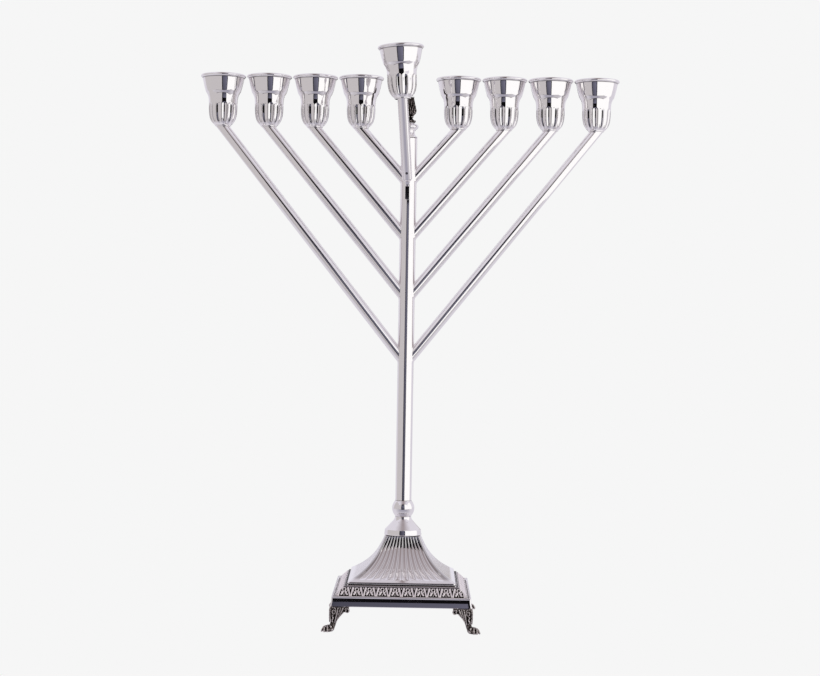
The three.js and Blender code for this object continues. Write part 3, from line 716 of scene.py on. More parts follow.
def fillet_mesh(x, count=64, steps=6):
    """The collar of a right-hand branch whose axis starts at the origin."""
    _, direction, sideways, upright = branch_frame(x)
    rings = []
    for k in range(count):
        angle = 2 * math.pi * k / count
        around = math.cos(angle) * sideways + math.sin(angle) * upright
        joint = BRANCH_RADIUS * around
        corner = joint + direction * reach_to_stem(joint, direction, STEM_RADIUS)
        on_tube = joint + direction * (reach_to_stem(joint, direction, STEM_RADIUS) + FILLET)
        wide = (BRANCH_RADIUS + FILLET) * around
        on_stem = wide + direction * reach_to_stem(wide, direction, STEM_RADIUS)
        pull = corner * 0.8 + (on_tube + on_stem) * 0.1
        hollow = []
        for s in range(steps + 1):
            t = s / steps
            hollow.append((1 - t) ** 2 * on_tube + 2 * t * (1 - t) * pull + t ** 2 * on_stem)
        inner = (BRANCH_RADIUS - FILLET_ROOT) * around
        back = inner + direction * reach_to_stem(inner, direction, STEM_RADIUS - FILLET_ROOT)
        rings.append(hollow + [back])
    return skin("solder_fillet", rings, ring_shaped=True)


for number, x in enumerate(BRANCH_TANS, 1):
    collar = hidden_object(f"solder_collar_{number}", fillet_mesh(x))
    joint = branch_frame(x)[0]
    joints = point_cloud(f"joint_points_{number}", [joint, joint], [0.0, math.pi])
    fillets = bake(f"solder_fillets_{number}_mesh", joints, copies_on_points, {
        "Copy": collar, "Lean": 0.0, "Finish": polished_tube})
    finished(f"solder_fillets_{number}", fillets, None, [])
    bpy.data.objects.remove(collar)

# %% [markdown]
# ## Stem, knop and finial neck
# The stem is one drawn tube. The knop under it is a turned ball with a neck, and the finial above
# stands on a turned neck with a polished disc. All three are bodies of revolution.

# %% Stem tube
STEM_BORE = 5.4
stem_outline = profile(
    [(STEM_BORE, STEM_LOW[2]), (STEM_RADIUS, STEM_LOW[2])],
    [(STEM_RADIUS, STEM_LOW[2]), (STEM_RADIUS, STEM_HIGH[2] - 0.3)],
    [(STEM_RADIUS, STEM_HIGH[2] - 0.3), (STEM_RADIUS - 0.3, STEM_HIGH[2])],
    [(STEM_RADIUS - 0.3, STEM_HIGH[2]), (STEM_BORE, STEM_HIGH[2])],
    [(STEM_BORE, STEM_HIGH[2]), (STEM_BORE, STEM_LOW[2] + 0.1)], steps=24)
stem = skin("stem_mesh", circles(stem_outline, 72), ring_shaped=True)
finished("stem_tube_polished", stem, polished_tube, ["stem_tube"])

# %% [markdown]
# The knop's ball is an exact arc between two angles, so that it stays round; the short coves that run
# into it are drawn through points.

# %% Knop
KNOP_LOW, KNOP_HIGH = span("knop")
KNOP_RADIUS = 8.55
KNOP_CENTRE = 85.6
ROD_BORE = 2.4  # radius of the hole for the tie rod, through the knop, the cap and the shell


def ball_arc(radius, centre, low_degrees, high_degrees, steps=28):
    angles = np.radians(np.linspace(low_degrees, high_degrees, steps + 1))
    return [(radius * math.cos(a), centre + radius * math.sin(a)) for a in angles]


knop_outline = profile(
    [(ROD_BORE, KNOP_LOW[2]), (6.2, KNOP_LOW[2])],
    [(6.2, KNOP_LOW[2]), (6.25, KNOP_LOW[2] + 0.2), (6.5, KNOP_LOW[2] + 0.6)],
    ball_arc(KNOP_RADIUS, KNOP_CENTRE, -39, 38),
    [(6.75, 90.85), (6.5, 91.1), (6.3, KNOP_HIGH[2])],
    [(6.3, KNOP_HIGH[2]), (ROD_BORE, KNOP_HIGH[2])],
    [(ROD_BORE, KNOP_HIGH[2]), (ROD_BORE, KNOP_LOW[2] + 0.1)], steps=3)
finished("knop_polished", skin("knop_mesh", circles(knop_outline), ring_shaped=True), polished_cup, ["knop"])

# %% [markdown]
# The neck has a stud that drops into the stem, a cone, a waist and a round disc. All are one profile.

# %% Finial neck
NECK_LOW, NECK_HIGH = span("finial_neck")
stem_top = STEM_HIGH[2] + GAP
neck_outline = profile(
    [(0.3, NECK_LOW[2]), (2.0, NECK_LOW[2])],
    [(2.0, NECK_LOW[2]), (2.0, stem_top - 0.2)],
    [(2.0, stem_top), (6.1, stem_top)],
    [(6.1, stem_top), (6.3, stem_top + 0.5), (5.9, stem_top + 1.0)],
    [(5.9, stem_top + 1.0), (4.6, stem_top + 2.2), (4.1, stem_top + 4), (4.3, stem_top + 5.6)],
    [(4.3, stem_top + 5.6), (4.9, stem_top + 5.7), (5.0, stem_top + 6.2)],
    [(5.0, stem_top + 6.2), (6.3, stem_top + 7.0), (6.95, stem_top + 8.3), (6.9, stem_top + 9.2),
     (6.2, stem_top + 10.2)],
    [(6.2, stem_top + 10.2), (4.6, stem_top + 10.6), (4.3, NECK_HIGH[2])],
    [(4.3, NECK_HIGH[2]), (0.3, NECK_HIGH[2])], steps=6)
neck = skin("finial_neck_mesh", circles(neck_outline))
finished("finial_neck_polished", neck, polished_cup, ["finial_neck"])

# %% [markdown]
# ## Base cap
# A turned cap joins the round stem to the square base: a plain drum with a thin foot rim, and above
# it a trumpet that sweeps up to the neck under the knop.

# %% Base cap
CAP_LOW, CAP_HIGH = span("base_cap")
CAP_RADIUS = CAP_HIGH[0]
cap_outline = profile(
    [(ROD_BORE, CAP_LOW[2]), (CAP_RADIUS - 0.15, CAP_LOW[2])],
    [(CAP_RADIUS - 0.15, CAP_LOW[2]), (CAP_RADIUS + 0.15, CAP_LOW[2] + 0.2),
     (CAP_RADIUS + 0.1, CAP_LOW[2] + 0.5), (CAP_RADIUS - 0.1, CAP_LOW[2] + 0.7)],
    [(CAP_RADIUS - 0.1, CAP_LOW[2] + 0.7), (CAP_RADIUS - 0.42, 69.2)],
    [(CAP_RADIUS - 0.42, 69.2), (CAP_RADIUS - 0.55, 69.5), (CAP_RADIUS - 0.9, 69.7)],
    [(CAP_RADIUS - 0.9, 69.7), (12.3, 70.9), (10.6, 72.7), (9.0, 74.5), (7.6, 76.0), (6.8, 77.1),
     (6.35, 78.2), (6.2, CAP_HIGH[2])],
    [(6.2, CAP_HIGH[2]), (ROD_BORE, CAP_HIGH[2])],
    [(ROD_BORE, CAP_HIGH[2]), (ROD_BORE, CAP_LOW[2] + 0.1)], steps=8)
cap = skin("base_cap_mesh", circles(cap_outline, 120), ring_shaped=True, sharp_degrees=50)
finished("base_cap_polished", cap, polished_cup, ["base_cap"])

# %% [markdown]
# ## Base shell
# The flare is a square trumpet. Its side view is one cubic curve, and every level is a square with
# small corners. The flat part of each face is the fluted field; the flute tree presses the hollows in.
# Below the flutes the sheet turns over a small lip.

# %% Base shell
FLARE = np.array([(13.4, 65.0), (18.3, 52.0), (24.4, 42.0), (40.4, 33.7)])
FLUTES_PER_FACE = 12
COLUMNS_PER_FLUTE = 12
CORNER_STEPS = 6
SHEET = 1.0  # thickness of the flat top
FLARE_THICKNESS = 1.8  # from the crest of a flute to the inside
FLARE_STEPS = 90
PAST_FLUTES = 2.0  # a place along the field where nothing is pressed
SHELL_LOW = span("base_shell")[0]


def square_loop(half, z, corner, xs, corner_steps):
    """A rounded square: a point for each of xs along every side, then the corner's arc."""
    flat = half - corner
    loop = []
    for side in range(4):
        turn = side * math.pi / 2
        cos, sin = math.cos(turn), math.sin(turn)
        loop += [(x * cos + half * sin, x * sin - half * cos, z) for x in xs]
        for s in range(corner_steps):
            angle = turn - math.pi / 2 + s / corner_steps * math.pi / 2
            loop.append((flat * (cos + sin) + corner * math.cos(angle),
                         flat * (sin - cos) + corner * math.sin(angle), z))
    return loop


def flare_point(t):
    weights = np.array([(1 - t) ** 3, 3 * t * (1 - t) ** 2, 3 * t * t * (1 - t), t ** 3])
    return weights @ FLARE


def shell_ring(half, z, along, margin, corner):
    """One level: corner arcs, plain margins and the fluted field, with the field's coordinates."""
    flat = half - corner
    field = max(half - margin, 0.05)
    field = min(field, flat)
    xs = list(np.linspace(-flat, -field, 4, endpoint=False))
    marks = [0.0] * 4
    steps = FLUTES_PER_FACE * COLUMNS_PER_FLUTE
    xs += [-field + 2 * field * s / steps for s in range(steps + 1)]
    marks += [s / steps for s in range(steps + 1)]
    xs += list(np.linspace(field, flat, 5)[1:])
    marks += [1.0] * 4
    loop = square_loop(half, z, corner, xs[:-1], CORNER_STEPS)
    across = (marks[:-1] + [1.0] * CORNER_STEPS) * 4
    return loop, across, [along] * len(loop)


def base_shell_mesh():
    levels = []  # (half, z, along, margin, corner)
    for s in range(FLARE_STEPS + 1):
        t = s / FLARE_STEPS
        half, z = flare_point(t)
        levels.append((half, z, t, 0.5 + 4.5 * t, 1.6))
    foot = FLARE[-1]
    lip = profile(
        [tuple(foot), (foot[0] + 0.2, foot[1] - 0.2)],
        [(foot[0] + 0.2, foot[1] - 0.2), (foot[0] + 0.25, SHELL_LOW[2])],
        [(foot[0] + 0.25, SHELL_LOW[2]), (foot[0] - 1.2, SHELL_LOW[2])],
        [(foot[0] - 1.2, SHELL_LOW[2]), (foot[0] - 2.4, foot[1])], steps=4)
    for half, z in lip[1:]:
        levels.append((half, z, PAST_FLUTES, 5.0, 1.6))
    for s in range(16):  # back up the inside
        t = 0.95 - 0.95 * s / 15
        half, z = flare_point(t)
        ahead = flare_point(min(t + 0.01, 1)) - flare_point(max(t - 0.01, 0))
        ahead /= np.linalg.norm(ahead)
        levels.append((half - FLARE_THICKNESS * abs(ahead[1]), z - FLARE_THICKNESS * abs(ahead[0]),
                       PAST_FLUTES, 4.0, 1.0))
    under_top = FLARE[0][1] - SHEET
    levels.append((levels[-1][0] - 0.1, under_top, PAST_FLUTES, 2.0, 0.8))
    for z in (under_top, FLARE[0][1] - 0.02):
        levels.append((ROD_BORE, z, PAST_FLUTES, 2.2, ROD_BORE - 0.05))
    rings, across, along, share = [], [], [], []
    for level in levels:
        loop, a, b = shell_ring(*level)
        rings.append(loop)
        across += a
        along += b
        share += [(level[0] / foot[0]) ** 1.3] * len(loop)
    mesh = skin("base_shell_mesh", rings, ring_shaped=True, sharp_degrees=55, values={
        "across": across, "along": along, "flute_share": share})
    return bake("base_shell_mesh", mesh, pressed_flutes, {
        "Flutes": float(FLUTES_PER_FACE), "Depth": 0.42 * MM, "Start": -0.1, "End": 0.94,
        "Start Round": 0.01, "End Round": 0.05, "Flatness": 2.6, "Finish": polished_base})


finished("base_shell_polished", base_shell_mesh(), None, ["base_shell"])

# %% [markdown]
# ## Ledge frame and skirt
# A plain frame under the flare carries the border strips. The skirt closes the base: a bead at the
# top, then a slightly hollow face that leans out to its foot, soldered at the mitred corners.


# %% Ledge frame and skirt
def square_ring(half, z, corner, flat_steps=24):
    """A rounded square in millimetres; corner is the corner radius."""
    flat = half - corner
    return square_loop(half, z, corner, [-flat + 2 * flat * s / flat_steps for s in range(flat_steps)], 8)


LEDGE_LOW, LEDGE_HIGH = span("base_ledge")
LEDGE_HALF = LEDGE_HIGH[0]
LEDGE_TOP = LEDGE_HIGH[2]
ledge_shape = profile(
    [(39.2, LEDGE_TOP), (40.3, LEDGE_TOP)],
    [(40.3, LEDGE_TOP), (41.0, 30.9)],
    [(41.0, 30.9), (LEDGE_HALF, 23.0)],
    [(LEDGE_HALF, 23.0), (LEDGE_HALF, LEDGE_LOW[2])],
    [(LEDGE_HALF, LEDGE_LOW[2]), (LEDGE_HALF - 1, LEDGE_LOW[2])],
    [(LEDGE_HALF - 1, LEDGE_LOW[2]), (LEDGE_HALF - 1, 22.4)],
    [(LEDGE_HALF - 1, 22.4), (39.2, 30.8)],
    [(39.2, 30.8), (39.2, LEDGE_TOP - 0.1)], steps=2)
ledge_rings = [square_ring(half, z, 0.5, flat_steps=8) for half, z in ledge_shape]
ledge = skin("base_ledge_mesh", ledge_rings, ring_shaped=True)
finished("base_ledge_frame", ledge, polished_base, ["base_ledge"])

SKIRT_LOW, SKIRT_HIGH = span("skirt")
SKIRT_HALF = SKIRT_HIGH[0]
skirt_shape = profile(
    [(49.5, SKIRT_LOW[2]), (SKIRT_HALF - 0.3, SKIRT_LOW[2])],
    [(SKIRT_HALF - 0.3, SKIRT_LOW[2]), (SKIRT_HALF, SKIRT_LOW[2] + 0.35)],
    [(SKIRT_HALF, SKIRT_LOW[2] + 0.35), (52.5, 18.9), (52.2, 20.6)],
    [(52.2, 20.6), (51.98, 23.8)],
    [(51.98, 23.8), (52.08, 24.0), (51.9, 24.4), (51.4, 24.65), (50.9, 24.4)],
    [(50.9, 24.4), (49.5, 23.0)],
    [(49.5, 23.0), (49.5, SKIRT_LOW[2] + 0.1)], steps=6)
skirt_rings = [square_ring(half, z, 1.1) for half, z in skirt_shape]
finished("skirt_polished", skin("skirt_mesh", skirt_rings, ring_shaped=True), polished_skirt, ["skirt"])

# %% [markdown]
# ## The leaf-and-dart border
# The border is struck from a steel roller: an egg in a horseshoe loop, two small leaves below it, and
# a dart between one motif and the next. The tile is a height map made of ridges, each the distance to
# a short line or an arc. The row tree strikes it along each side, and the ends are cut to the mitre.

# %% Border tile
TILE_PITCH = 9.5  # from one egg to the next
TILES_PER_SIDE = 12
RELIEF_HEIGHT = 0.75
FRIEZE_TOP = np.array([42.4, 31.9])
FRIEZE_FOOT = np.array([50.2, 24.2])
FRIEZE_BACK = 1.4  # thickness of the strip
BACK_SHADE = 0.9  # relief of its plain back, which is left bright
TILE_COLUMNS, TILE_ROWS = 56, 64


def ridge(distance, half_width):
    """A rounded ridge: 1 on its line, 0 at half_width and beyond."""
    return np.clip(1 - (distance / half_width) ** 2, 0, 1) ** 0.8


def to_segment(u, v, a, b):
    """Distance of the point (u, v) from the short line between a and b."""
    a, b = np.array(a), np.array(b)
    step = b - a
    t = np.clip(((u - a[0]) * step[0] + (v - a[1]) * step[1]) / (step @ step), 0, 1)
    return np.hypot(u - a[0] - t * step[0], v - a[1] - t * step[1])


def tile_height(u, v):
    """Relief from 0 to 1; u runs across one tile from its middle, v down from the strip's top edge."""
    u = np.abs((u + TILE_PITCH / 2) % TILE_PITCH - TILE_PITCH / 2)
    dart = TILE_PITCH / 2 - u
    parts = [
        0.95 * ridge(np.abs(np.hypot(u, (v - 3.6) * 0.9) - 1.25), 0.55),
        0.85 * ridge(to_segment(u, v, (2.2, 2.3), (2.75, 4.6)), 0.42),
        0.95 * ridge(to_segment(u, v, (0.95, 5.9), (2.1, 8.3)), 0.95),
        0.8 * ridge(to_segment(u, v, (2.75, 4.6), (1.9, 6.2)), 0.42),
        0.7 * ridge(to_segment(u, v, (0.0, 7.6), (0.0, 9.2)), 0.4),
        0.97 * ridge(to_segment(dart, v, (1.7, 2.2), (0.5, 9.3)), 0.8),
        0.7 * ridge(to_segment(dart, v, (0.0, 2.0), (0.0, 3.2)), 0.5),
    ]
    relief = np.max(parts, 0)
    top_bead = 0.8 * ridge(np.abs(v - 0.9), 0.5)
    low_bead = 0.85 * ridge(np.abs(v - 10.45), 0.5)
    return np.maximum.reduce([relief, top_bead, low_bead])


def tile_mesh():
    """A struck tile across X, its face down the slope of the strip, open at both ends."""
    down = FRIEZE_FOOT - FRIEZE_TOP
    length = np.linalg.norm(down)
    down = down / length
    out = np.array([-down[1], down[0]])
    u = np.linspace(-TILE_PITCH / 2, TILE_PITCH / 2, TILE_COLUMNS + 1)
    v = np.linspace(0, length, TILE_ROWS + 1)
    grid_u, grid_v = np.meshgrid(u, v, indexing="ij")
    height = tile_height(grid_u, grid_v)
    sunk = (height - 1) * RELIEF_HEIGHT
    place = FRIEZE_TOP + grid_v[..., None] * down + sunk[..., None] * out
    face = np.stack([grid_u, -place[..., 0], place[..., 1]], -1)
    backs = []
    for edge in (FRIEZE_FOOT, FRIEZE_TOP):
        y, z = edge - FRIEZE_BACK * out
        backs.append(np.stack([u, np.full_like(u, -y), np.full_like(u, z)], -1)[:, None])
    rings = np.concatenate([face] + backs, 1)
    relief = np.concatenate([height, np.full((len(u), 2), BACK_SHADE)], 1)
    columns, count = rings.shape[:2]
    i, j = np.meshgrid(np.arange(columns - 1), np.arange(count), indexing="ij")
    nxt = (j + 1) % count
    quads = np.stack([i * count + j, i * count + nxt, (i + 1) * count + nxt, (i + 1) * count + j], -1)
    mesh = bpy.data.meshes.new("border_tile")
    mesh.from_pydata((rings.reshape(-1, 3) * MM).tolist(), [], quads.reshape(-1, 4).tolist())
    write_measure(mesh, "relief", relief)
    mesh.shade_smooth()
    return mesh


tile = hidden_object("border_tile", tile_mesh())

# %% [markdown]
# A roller strikes a long strip, which is then sawn to length. Here too the row tree strikes a strip that
# is too long, both ends are cut at 45 degrees, and the closed strip is turned to each of the four sides.

# %% Border strips
MITRE_GAP = 0.15


def cut_off(work, place, normal, reach):
    """Cuts away what lies beyond a plane and closes the cut; reach is how near a point counts as on it."""
    everything = work.verts[:] + work.edges[:] + work.faces[:]
    bmesh.ops.bisect_plane(work, geom=everything, clear_outer=True, plane_co=place, plane_no=normal,
                           dist=reach)
    bmesh.ops.holes_fill(work, edges=[edge for edge in work.edges if edge.is_boundary], sides=0)


def cut_to_mitre(mesh):
    """Cuts both ends of the front strip at 45 degrees and closes them."""
    work = bmesh.new()
    work.from_mesh(mesh)
    for side in (-1, 1):
        cut_off(work, (-side * MITRE_GAP * MM, 0, 0), (side, 1, 0), 1e-8)
    return faced_out(work, mesh)


first = (-(TILES_PER_SIDE - 1) / 2 * TILE_PITCH * MM, 0.0, 0.0)
for number, side in enumerate(("front", "right", "back", "left")):
    strip = bake(f"frieze_{side}_mesh", bpy.data.meshes.new("empty"), struck_row, {
        "Tile": tile, "Count": TILES_PER_SIDE, "First": first, "Pitch": (TILE_PITCH * MM, 0.0, 0.0),
        "Finish": oxidised_border})
    cut_to_mitre(strip)
    strip.transform(Matrix.Rotation(number * math.pi / 2, 4, "Z"))
    shaded(strip, 60)
    finished(f"frieze_{side}_struck", strip, None, [f"frieze_{side}"])
print("border tiles:", 4 * TILES_PER_SIDE)

# %% [markdown]
# ## Castings
# The feet and the finial are lost-wax castings, soft-edged and full of leaf veins. A caster builds the
# wax up from rolls and pellets, and so does this: swept rolls and pellets are melted together by a
# fine voxel remesh. How hollow the result is at each point then gives the measure that the oxide
# finish follows.


# %% Wax rolls, pellets and melting
VOXEL_MM = 0.2
SMOOTHING_ROUNDS = 14  # of the copy that relief is measured against


def roll_of_wax(path, radii, up=(0, 0, 1), sides=10, steps=5):
    """A closed tapering roll along a smooth path, with radii at even steps along it."""
    line = np.array(through(path, steps))
    at = np.linspace(0, len(radii) - 1, len(line))
    sizes = np.interp(at, np.arange(len(radii)), radii)
    ahead = np.gradient(line, axis=0)
    ahead /= np.linalg.norm(ahead, axis=1)[:, None]
    rings = []
    for point, direction, size in zip(line, ahead, sizes):
        side = np.cross(direction, up)
        side /= max(np.linalg.norm(side), 1e-6)
        rise = np.cross(side, direction)
        rings.append([point + size * (math.cos(a) * side + math.sin(a) * rise) for a in full_turn(sides)])
    return rings


def pellet(centre, radii, turn_degrees=0.0, levels=10, sides=14):
    """A wax ellipsoid as rings, turned about Z."""
    rings = []
    turn = np.array(Matrix.Rotation(math.radians(turn_degrees), 3, "Z"))
    for k in range(1, levels):
        angle = math.pi * k / levels - math.pi / 2
        wide, deep, high = radii[0] * math.cos(angle), radii[1] * math.cos(angle), radii[2] * math.sin(angle)
        ring = [np.array([wide * math.cos(a), deep * math.sin(a), high]) for a in full_turn(sides)]
        rings.append([turn @ point + np.array(centre) for point in ring])
    return rings


def joined(name, bodies):
    """One mesh from several closed bodies of rings, which may run into each other."""
    work = bmesh.new()
    for rings in bodies:
        part = skin("part", rings)
        work.from_mesh(part)
        bpy.data.meshes.remove(part)
    mesh = bpy.data.meshes.new(name)
    work.to_mesh(mesh)
    work.free()
    return mesh


def melt(name, bodies):
    """Melts closed bodies of rings into one remeshed casting."""
    carrier = hidden_object("wax", joined(name, bodies))
    remesh = carrier.modifiers.new("melt", "REMESH")
    remesh.mode = "VOXEL"
    remesh.voxel_size = VOXEL_MM * MM
    soften = carrier.modifiers.new("soften", "SMOOTH")
    soften.factor = 0.5
    soften.iterations = 1
    return plain_mesh(carrier, name)


def measure_relief(mesh, reach_mm):
    """Writes relief: 0 in hollows and 1 on crests, from how far each point stands off a smoothed copy."""
    count = len(mesh.vertices)
    points = np.empty(count * 3)
    mesh.vertices.foreach_get("co", points)
    points = points.reshape(-1, 3)
    normals = np.empty(count * 3, np.float32)
    mesh.vertex_normals.foreach_get("vector", normals)
    normals = normals.reshape(-1, 3)
    edges = np.empty(len(mesh.edges) * 2, np.int32)
    mesh.edges.foreach_get("vertices", edges)
    edges = edges.reshape(-1, 2)
    degree = np.bincount(edges.ravel(), minlength=count).astype(float)
    smooth = points.copy()
    for _ in range(SMOOTHING_ROUNDS):
        total = np.zeros_like(smooth)
        np.add.at(total, edges[:, 0], smooth[edges[:, 1]])
        np.add.at(total, edges[:, 1], smooth[edges[:, 0]])
        smooth = 0.35 * smooth + 0.65 * total / degree[:, None]
    stands_off = np.einsum("ij,ij->i", points - smooth, normals) / (reach_mm * MM)
    write_measure(mesh, "relief", np.clip(0.5 + stands_off, 0, 1))
    mesh.shade_smooth()
    return mesh


# %% [markdown]
# ## Feet
# Each foot is a leaf that wraps the corner: a wing along each side ending in a curled volute, veins
# fanning up from the ankle, a spine down the corner, and a ribbed paw that points outwards. It is
# modelled once at the front left corner and turned to the other three.

# %% Foot casting
FOOT_LOW, FOOT_HIGH = span("foot_front_left")
FOOT_TOP = FOOT_HIGH[2]
WING_FACE = 52.9  # distance of a wing's outer face from the stem's axis
CURL = (-40.1, 14.15)  # centre of the volute on the front wing, x and z
PAW = (-53.5, 0.5)  # centre of the paw on the diagonal: x equals y, and z
PAW_LONG, PAW_WIDE, PAW_HIGH = 5.5, 3.5, 2.6


def on_wing(points, rise=0.0):
    """Points drawn on the front wing's face, each (x, z), raised outwards by rise."""
    return [(x, -WING_FACE - rise, z) for x, z in points]


def wing_blade():
    """The leaf blade, thick at its outer corner and thin at its lower edge."""
    lower = through([(-38.6, 15.6), (-40.6, 13.4), (-42.4, 12.7), (-45.4, 10.0), (-47.0, 7.8), (-48.3, 5.4),
                     (-48.8, 3.8)], 4)
    upper = through([(-38.6, FOOT_TOP), (-42.0, FOOT_TOP), (-45.5, FOOT_TOP), (-49.0, FOOT_TOP),
                     (-52.8, FOOT_TOP), (-52.9, 10.5), (-52.2, 4.6)], 4)
    rings = []
    for (x0, z0), (x1, z1) in zip(lower, upper):
        z1 = min(z1, FOOT_TOP)  # a smooth curve may swing a little past its points
        rings.append([(x0, -WING_FACE + 0.7, z0), (x1, -WING_FACE + 0.7, z1),
                      (x1, -WING_FACE + 3.0, z1), (x0, -WING_FACE + 2.6, z0)])
    return rings


def spiral(centre, outer, inner, turns, start_degrees, count=14):
    """Points on the face, (x, z), that wind inwards clockwise."""
    path = []
    for s in range(count):
        angle = math.radians(start_degrees) - turns * 2 * math.pi * s / (count - 1)
        radius = outer + (inner - outer) * s / (count - 1)
        path.append((centre[0] + radius * math.cos(angle), centre[1] + radius * math.sin(angle)))
    return path


def front_wing():
    outwards = (0, -1, 0)
    veins = [  # path on the face, then the roll's radius at even steps along it
        ([(-46.7, 16.4), (-47.1, 14.2), (-47.7, 11.2), (-48.4, 8.0), (-49.0, 5.2)],
         [0.5, 0.65, 0.75, 0.6, 0.4]),
        ([(-43.0, 16.3), (-43.9, 14.2), (-44.9, 12.0), (-45.5, 10.2)], [0.5, 0.6, 0.62, 0.3]),
        ([(-44.9, 16.4), (-45.5, 13.8), (-46.4, 11.0), (-47.2, 8.4)], [0.35, 0.4, 0.38, 0.25]),
        ([(-42.4, 13.3), (-45.1, 10.4), (-46.9, 8.0), (-48.1, 5.6)], [0.4, 0.42, 0.42, 0.35]),
        ([(-50.0, 11.4), (-50.9, 10.2), (-50.3, 8.6), (-51.0, 7.2), (-50.4, 5.4)],
         [0.35, 0.5, 0.5, 0.5, 0.35]),
        ([(-52.4, 15.6), (-52.9, 12.4), (-52.6, 9.0), (-51.9, 5.6)], [0.55, 0.6, 0.55, 0.4]),
        ([(-50.9, 16.5), (-49.2, 16.2), (-48.4, 14.6)], [0.3, 0.42, 0.3]),
    ]
    parts = [wing_blade()]
    for path, radii in veins:
        parts.append(roll_of_wax(on_wing(path), radii, up=outwards))
    parts.append(roll_of_wax(on_wing(spiral(CURL, 1.85, 0.75, 1.15, 150), -0.35), [0.5, 0.55, 0.5, 0.4],
                             up=outwards, steps=3))
    parts.append(pellet((CURL[0], -WING_FACE + 1.9, CURL[1]), (2.0, 1.2, 1.95)))
    eye = [(-49.85 + 1.12 * math.cos(a), 13.3 + 1.35 * math.sin(a)) for a in np.linspace(0, 2 * math.pi, 13)]
    parts.append(roll_of_wax(on_wing(eye, 0.1), [0.45, 0.5, 0.62, 0.5, 0.45], up=outwards, steps=2))
    return parts


def mirrored(parts):
    """Swaps X and Y, which carries the front wing onto the left side."""
    return [np.asarray(rings, float)[..., [1, 0, 2]] for rings in parts]


def diagonal(out, z, side=0.0):
    """A point on the corner's diagonal, shifted sideways towards the front."""
    return ((side - out) * math.sqrt(0.5), -(side + out) * math.sqrt(0.5), z)


def paw_height(x, y):
    """Height of the paw's rounded top over a point of the plan."""
    along = (2 * PAW[0] - x - y) * math.sqrt(0.5)
    aside = (x - y) * math.sqrt(0.5)
    left_over = 1 - (along / PAW_LONG) ** 2 - (aside / PAW_WIDE) ** 2
    return PAW[1] + PAW_HIGH * math.sqrt(max(left_over, 0.0))


def leg_and_paw():
    parts = []
    core = [(68.6, FOOT_TOP - 0.1), (69.6, 12.0), (70.2, 8.0), (71.0, 5.2), (72.0, 2.6), (73.0, 0.6)]
    parts.append(roll_of_wax([diagonal(*p) for p in core], [3.3, 3.2, 2.7, 2.3, 2.2, 2.0], up=(-1, -1, 0)))
    spine = [(73.5, FOOT_TOP - 0.3), (74.5, 13.0), (74.3, 9.2), (72.8, 5.8)]
    parts.append(roll_of_wax([diagonal(*p) for p in spine], [0.6, 0.75, 0.7, 0.45], up=(-1, 1, 0)))
    centre = (PAW[0], PAW[0], PAW[1])
    parts.append(pellet(centre, (PAW_LONG - 0.4, PAW_WIDE - 0.4, PAW_HIGH - 0.35), 45, 12, 20))
    for x, reach, size in ((-56.5, 2.5, 0.6), (-54.2, 4.3, 0.72), (-51.9, 4.2, 0.75)):
        crest = x + 0.6
        toe = []
        for s in np.linspace(0, 1, 7):
            y = crest - s * reach
            toe.append((x, y, max(paw_height(x, y) + 0.1, -0.9)))
        toe.append((x, crest - reach - 0.15, -1.0))
        parts.append(roll_of_wax(toe, [size * 0.7, size, size, size * 0.9], up=(1, 0, 0), steps=2))
        parts += mirrored(parts[-1:])
    tip = [diagonal(out, paw_height(*diagonal(out, 0)[:2])) for out in (77.0, 78.6, 80.0, 80.8)]
    parts.append(roll_of_wax(tip + [diagonal(80.9, -0.5)], [0.5, 0.6, 0.6, 0.5], up=(-1, 1, 0), steps=2))
    bean = (-51.4, -55.9, 0.6)
    parts.append(pellet(bean, (1.35, 0.8, 0.85)))
    parts += mirrored(parts[-1:])
    curl = [(-52.9 + 0.8 * math.cos(a), -54.6, 2.4 + 0.8 * math.sin(a)) for a in np.linspace(0.3, 5, 8)]
    parts.append(roll_of_wax(curl, [0.3, 0.36, 0.36, 0.3], up=(0, -1, 0), steps=2))
    parts += mirrored(parts[-1:])
    return parts


def foot_casting():
    wing = front_wing()
    casting = melt("foot_casting", wing + mirrored(wing) + leg_and_paw())
    work = bmesh.new()
    work.from_mesh(casting)
    for height, normal in ((FOOT_LOW[2] + 0.02, -1), (FOOT_TOP, 1)):
        cut_off(work, (0, 0, height * MM), (0, 0, normal), 1e-7)
    return measure_relief(faced_out(work, casting), 0.55)


foot = foot_casting()
for number, corner in enumerate(("front_left", "front_right", "back_right", "back_left")):
    copy = foot.copy()
    copy.transform(Matrix.Rotation(number * math.pi / 2, 4, "Z"))
    copy.name = f"foot_{corner}_mesh"
    finished(f"foot_{corner}_cast", copy, oxidised_casting, [f"foot_{corner}"])
bpy.data.meshes.remove(foot)
print("foot casting faces:", len(copy.polygons))

# %% [markdown]
# ## Finial bud
# A closed leaf bud stands on the disc: a waisted foot, a core, and two rows of pointed leaves that
# wrap it and curl out a little at their tips.

# %% Finial bud
BUD_LOW, BUD_HIGH = span("finial_bud")


def around_axis(radius, z, angle):
    return (radius * math.cos(angle), radius * math.sin(angle), z)


def bud_leaf(turn, low, high, radii, width):
    """One leaf: a centre vein and two edges that meet at its tip; radii runs from foot to tip."""
    heights = np.linspace(low, high, len(radii))
    pinch = [0.6, 1.0, 0.95, 0.6, 0.0]
    parts = []
    for offset, size in ((0.0, 0.6), (-width, 0.5), (width, 0.5)):
        path = [around_axis(r, z, turn + offset * p) for r, z, p in zip(radii, heights, pinch)]
        parts.append(roll_of_wax(path, [size * 0.7, size, size, size * 0.8, size * 0.6], steps=4))
    return parts


